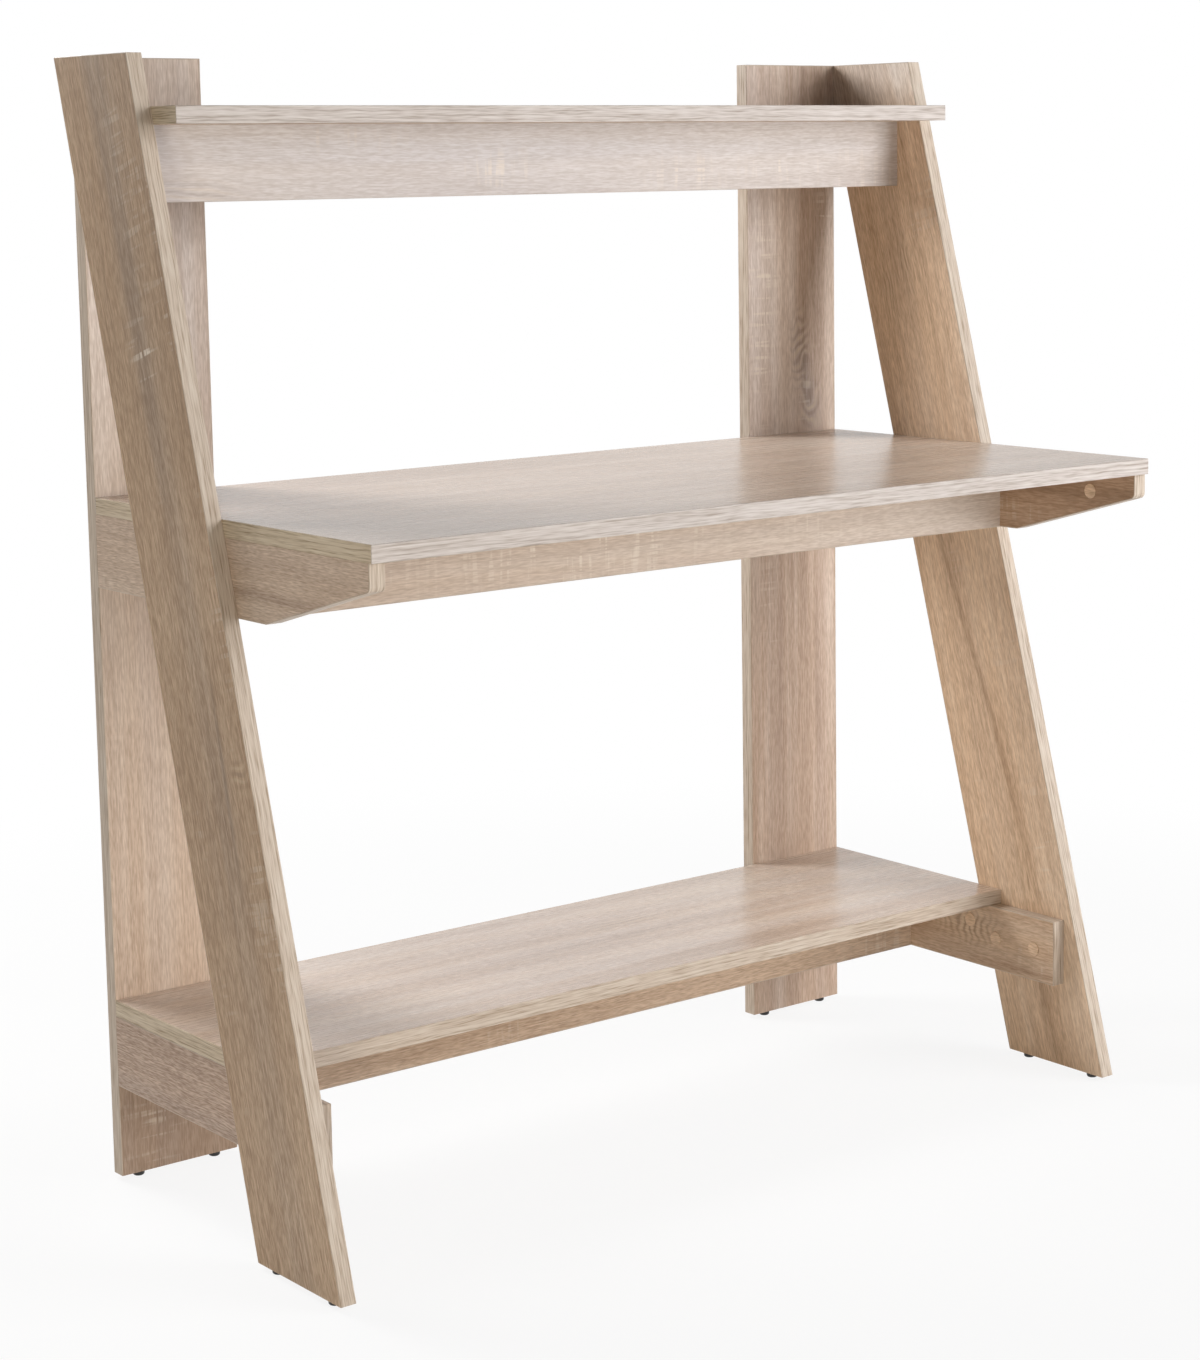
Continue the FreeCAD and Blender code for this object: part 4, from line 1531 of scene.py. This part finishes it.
# Directions along and across the leaning legs, then along, across and through each kind of board
LEAN_ALONG: Triple = (0.0, 0.26527, 0.96417)
LEAN_ACROSS: Triple = (0.0, -0.96417, 0.26527)
LEVEL = (X_AXIS, Y_AXIS, Z_AXIS)
CROSSWISE = (X_AXIS, Z_AXIS, Y_AXIS)
UPRIGHT = (Z_AXIS, X_AXIS, Y_AXIS)
FORE = (Y_AXIS, Z_AXIS, X_AXIS)
LEANING = (LEAN_ALONG, LEAN_ACROSS, X_AXIS)


def leg_boards(band: Material) -> list[FacedBoard]:
    """Lists the legs with the print that each was cut from.

    Args:
        band: Finish of the edge bands.

    Returns:
        The legs.
    """
    rear_left = OakPrint(
        Shade.ROSE,
        *UPRIGHT,
        seed=3.1,
        saw_marks=(
            Mark(0.572, -0.405, 0.06, 0.016, 0.5),
            Mark(0.056, -0.49, 0.05, 0.03, 0.5),
            Mark(0.85, -0.43, 0.08, 0.012, 0.3),
        ),
        streaks=(
            Mark(0.03, -0.47, 0.08, 0.2, 0.14),
            Mark(0.45, -0.525, 0.4, 0.025, 0.02),
            Mark(0.85, -0.42, 0.3, 0.2, -0.07),
            Mark(0.3, -0.47, 0.2, 0.2, -0.04),
        ),
        greyed=(Mark(1.0, -0.46, 0.35, 0.3, 0.35),),
        fibre=0.1,
    )
    rear_right = OakPrint(
        Shade.TAWNY,
        *UPRIGHT,
        seed=5.7,
        flames=(
            Flame(0.865, 0.473, 0.045, 0.013, 0.45, hub=(0.97, 0.455), spacing=0.016, bend=0.07),
            Flame(0.79, 0.49, 0.035, 0.016, 0.4, hub=(0.9, 0.46), spacing=0.026, bend=0.09),
        ),
        saw_marks=(
            Mark(0.915, 0.408, 0.16, 0.018, 1.0),
            Mark(1.029, 0.511, 0.03, 0.012, 0.8),
            Mark(0.52, 0.415, 0.09, 0.014, 0.5),
        ),
        streaks=(
            Mark(0.95, 0.482, 0.22, 0.008, 0.05),
            Mark(0.40, 0.436, 0.30, 0.010, 0.06),
            Mark(0.407, 0.495, 0.12, 0.012, 0.05),
            Mark(0.81, 0.486, 0.06, 0.012, 0.03, -0.2),
            # Paler along the left edge: painted light from the left
            Mark(0.85, 0.395, 0.5, 0.035, -0.11),
            Mark(0.9, 0.44, 0.2, 0.05, -0.05),
        ),
        greyed=(Mark(0.81, 0.486, 0.07, 0.014, 0.5, -0.2), Mark(1.0, 0.395, 0.4, 0.025, 0.3)),
        fibre=0.1,
    )
    front_left = OakPrint(
        Shade.UMBER,
        *LEANING,
        seed=9.2,
        flames=(Flame(0.477, 0.187, 0.014, 0.014, 0.4, hub=(0.56, 0.187), spacing=0.013),),
        saw_marks=(
            Mark(0.919, 0.135, 0.03, 0.02, 0.75),
            Mark(0.905, 0.152, 0.02, 0.012, 0.6),
            Mark(0.925, 0.2, 0.03, 0.008, 0.4),
            Mark(0.61, 0.2, 0.06, 0.012, 0.45),
        ),
        streaks=(
            Mark(0.48, 0.157, 0.11, 0.004, 0.09, 0.05),
            Mark(0.6, 0.138, WHOLE_LENGTH, 0.026, 0.02),
            Mark(0.0, 0.14, 0.25, 0.2, -0.05),
            Mark(0.66, 0.14, 0.12, 0.2, -0.05),
        ),
        greyed=(Mark(0.6, 0.138, WHOLE_LENGTH, 0.024, 0.4),),
        figure=0.65,
        fibre=0.18,
    )
    front_right = OakPrint(
        Shade.HONEY,
        *LEANING,
        seed=12.4,
        flames=(
            Flame(0.976, 0.137, 0.03, 0.014, 0.35, hub=(0.976, 0.4), spacing=0.006),
            Flame(0.944, 0.1, 0.035, 0.012, 0.35, hub=(0.944, -0.2), spacing=0.006),
        ),
        saw_marks=(Mark(0.253, 0.182, 0.05, 0.014, 0.75),),
        streaks=(
            Mark(0.51, 0.121, 0.14, 0.003, 0.16, -0.15),
            Mark(0.36, 0.14, 0.12, 0.005, 0.1, -0.1),
            Mark(0.62, 0.115, 0.12, 0.012, 0.05, -0.1),
            Mark(0.05, 0.135, 0.1, 0.008, 0.08),
            # Darker under the top shelf and rail: a painted shadow of the shelf
            Mark(1.02, 0.12, 0.16, 0.06, 0.08),
            Mark(0.8, 0.14, 0.12, 0.2, -0.03),
            # Paler on the middle of the inner face: painted light
            Mark(0.54, 0.15, 0.12, 0.03, -0.06),
            Mark(0.05, 0.15, 0.2, 0.2, -0.03),
            # Above the top shelf: darker in the rear corner, a painted shade; paler at the front,
            # painted light
            Mark(1.21, 0.13, 0.06, 0.1, 0.02),
            Mark(1.21, 0.2, 0.06, 0.03, -0.14),
        ),
        # Greyer over the leg's top above the shelf: a painted sheen
        greyed=(Mark(1.22, 0.13, 0.07, 0.2, 0.8),),
    )
    return [
        RearLeg("rear_leg_left", rear_left, band),
        RearLeg("rear_leg_right", rear_right, band),
        FrontLeg("front_leg_left", front_left, band),
        FrontLeg("front_leg_right", front_right, band),
    ]


def level_boards(pale_band: Material, tan_band: Material, shaded_end_band: Material) -> list[FacedBoard]:
    """Lists the shelves, the desk top and the rails between the legs, with their prints.

    Args:
        pale_band: Finish of the long edge bands of the top shelf, the top rail and the desk top.
        tan_band: Finish of the other long edge bands.
        shaded_end_band: Finish of the bands on the ends of the shelves and the desk top, recoloured
            for the light on those ends: painted light and shade.

    Returns:
        The boards.
    """
    top_shelf = OakPrint(Shade.CREAM, *LEVEL, seed=15.8, figure=0.6, fibre=0.09, pores=0.3)
    top_rail = OakPrint(
        Shade.ASH,
        *CROSSWISE,
        seed=18.3,
        flames=(
            Flame(-0.47, 1.078, 0.05, 0.012, 0.22, hub=(-0.49, 1.045), bend=0.008, squeeze=0.3),
        ),
        saw_marks=(
            Mark(-0.083, 1.097, 0.045, 0.022, 0.5),
            Mark(0.198, 1.091, 0.05, 0.02, 0.5),
            Mark(0.346, 1.099, 0.05, 0.022, 0.55),
        ),
        streaks=(
            # Darker along the foot and paler under the shelf: painted shade and painted light that
            # even out the shelf's shadow; darker at the right end: a painted shadow of the right leg
            Mark(0.0, 1.08, WHOLE_LENGTH, 0.03, 0.04),
            Mark(0.0, 1.14, WHOLE_LENGTH, 0.03, -0.05),
            Mark(0.5, 1.1, 0.12, 0.2, 0.04),
        ),
        greyed=(Mark(-0.1, 1.1, 0.3, 0.2, 0.15),),
        figure=0.35,
        fibre=0.07,
        pores=0.15,
        greyness=0.1,
    )
    desk_rail = OakPrint(
        Shade.CREAM,
        *CROSSWISE,
        seed=30.2,
        saw_marks=(Mark(-0.12, 0.695, 0.16, 0.035, 1.2), Mark(0.22, 0.69, 0.06, 0.02, 0.5)),
        streaks=(Mark(-0.4, 0.7, 0.2, 0.2, 0.05), Mark(0.4, 0.7, 0.2, 0.2, -0.04)),
        figure=0.6,
        fibre=0.08,
        pores=0.3,
    )
    lower_rail = OakPrint(
        Shade.HONEY,
        *CROSSWISE,
        seed=42.8,
        saw_marks=(Mark(0.46, 0.125, 0.05, 0.03, 0.6),),
        streaks=(Mark(-0.1, 0.15, 0.4, 0.2, 0.05),),
        greyed=(Mark(0.0, 0.15, WHOLE_LENGTH, 0.2, 0.2),),
    )
    lower_shelf = OakPrint(
        Shade.STRAW,
        *LEVEL,
        seed=33.7,
        flames=(Flame(0.09, 0.145, 0.06, 0.016, 0.25, hub=(0.09, 0.6), spacing=0.01, bend=0.012),),
        streaks=(
            Mark(0.06, 0.145, 0.2, 0.012, 0.06),
            Mark(0.38, 0.1, 0.16, 0.2, -0.09),
            Mark(-0.35, 0.1, 0.16, 0.2, -0.04),
        ),
        greyed=(Mark(-0.05, 0.1, 0.2, 0.3, 0.2),),
        gloss=0.5,
        roughness=0.28,
    )
    desktop = OakPrint(
        Shade.STRAW,
        *LEVEL,
        seed=21.6,
        streaks=(
            Mark(0.43, 0.16, 0.14, 0.12, -0.1),
            # Darker at the back left: a painted shade against the pool of light from the rear lamps
            Mark(-0.25, 0.25, 0.35, 0.1, 0.1),
            Mark(-0.2, 0.0, 0.5, 0.6, 0.025),
        ),
        figure=0.6,
        fibre=0.09,
        pores=0.3,
        greyness=0.05,
        gloss=0.4,
        roughness=0.28,
    )
    return [
        Shelf("top_shelf", top_shelf, pale_band, shaded_end_finish=shaded_end_band),
        CrossRail("top_rail", top_rail, pale_band),
        Shelf("desktop", desktop, pale_band, shaded_end_finish=shaded_end_band),
        CrossRail("desk_rail", desk_rail, tan_band),
        Shelf("lower_shelf", lower_shelf, tan_band, shaded_end_finish=shaded_end_band),
        CrossRail("lower_rail", lower_rail, tan_band),
    ]


def side_boards(band: Material) -> list[FacedBoard]:
    """Lists the brackets and the side rails, with their prints.

    Args:
        band: Finish of the edge bands.

    Returns:
        The boards.
    """
    bracket_left = OakPrint(
        Shade.ROSE,
        *FORE,
        seed=24.9,
        streaks=(Mark(-0.12, 0.688, 0.3, 0.007, 0.1),),
        figure=0.6,
        fibre=0.14,
        greyness=0.05,
    )
    bracket_right = OakPrint(
        Shade.RUSSET, *FORE, seed=27.5, streaks=(Mark(-0.15, 0.705, 0.3, 0.02, 0.06),)
    )
    side_left = OakPrint(
        Shade.TAWNY,
        *FORE,
        seed=36.1,
        streaks=(Mark(0.0, 0.15, WHOLE_LENGTH, 0.2, 0.04),),
        figure=0.6,
        fibre=0.2,
        waviness=0.006,
    )
    side_right = OakPrint(
        Shade.RUSSET,
        *FORE,
        seed=39.4,
        flames=(
            Flame(-0.005, 0.157, 0.045, 0.02, 0.5, hub=(0.13, 0.15), spacing=0.011, bend=0.035),
        ),
        streaks=(
            Mark(-0.06, 0.153, 0.04, 0.009, -0.05, 0.58),
            Mark(-0.1, 0.118, 0.1, 0.004, 0.08),
            Mark(-0.05, 0.155, 0.12, 0.03, -0.08),
            Mark(0.0, 0.15, WHOLE_LENGTH, 0.2, -0.07),
        ),
    )
    return [
        DeskBracket("desk_bracket_left", bracket_left, band),
        DeskBracket("desk_bracket_right", bracket_right, band),
        SideRail("lower_side_rail_left", side_left, band),
        SideRail("lower_side_rail_right", side_right, band),
    ]


def dress_fasteners() -> None:
    """Gives the cams, bolts, nuts and dowels of the frame their metal and wood."""
    zinc = CastMetal("cast_zinc", tone(150, 150, 152), tone(190, 190, 192), 900.0, 0.45)
    steel = CastMetal("plated_steel", tone(170, 168, 164), tone(205, 203, 198), 700.0, 0.3)
    put_finish("cam_locks", zinc.material())
    steel_finish = steel.material()
    for node in ("cam_bolts", "leg_bolts", "insert_nuts"):
        put_finish(node, steel_finish)
    put_finish("dowels", BeechWood().material())


def main() -> None:
    """Builds the desk's pieces, dresses them and sets up the studio."""
    logging.basicConfig(level=logging.INFO, format="%(name)s: %(message)s")
    PhotoCamera().build()
    pale_band = BandPrint(BandShade.PALE).material()
    tan_band = BandPrint(BandShade.TAN).material()
    # The ends' band is a recoloured copy for the dim, warm light on the left-facing ends: painted
    # light and shade
    shaded_end_band = BandPrint(BandShade.OLIVE).material()
    shelving = level_boards(pale_band, tan_band, shaded_end_band)
    for board in leg_boards(tan_band) + shelving + side_boards(tan_band):
        piece = board.build()
        board.dress()
        LOG.info("%s: %d faces on the edges of %s", piece.name, len(piece.data.polygons), board.node)
    cap_print = OakPrint(Shade.HONEY, *FORE, seed=47.0, bare_edges=False)
    fittings = [
        CoverCaps(cap_print.material("cap_oak")),
        FloorGlides(MouldedPlastic().material()),
    ]
    for fitting in fittings:
        piece = fitting.build()
        LOG.info("%s: %d faces", piece.name, len(piece.data.polygons))
    dress_fasteners()
    Studio().build()


if __name__ == "__main__":
    main()
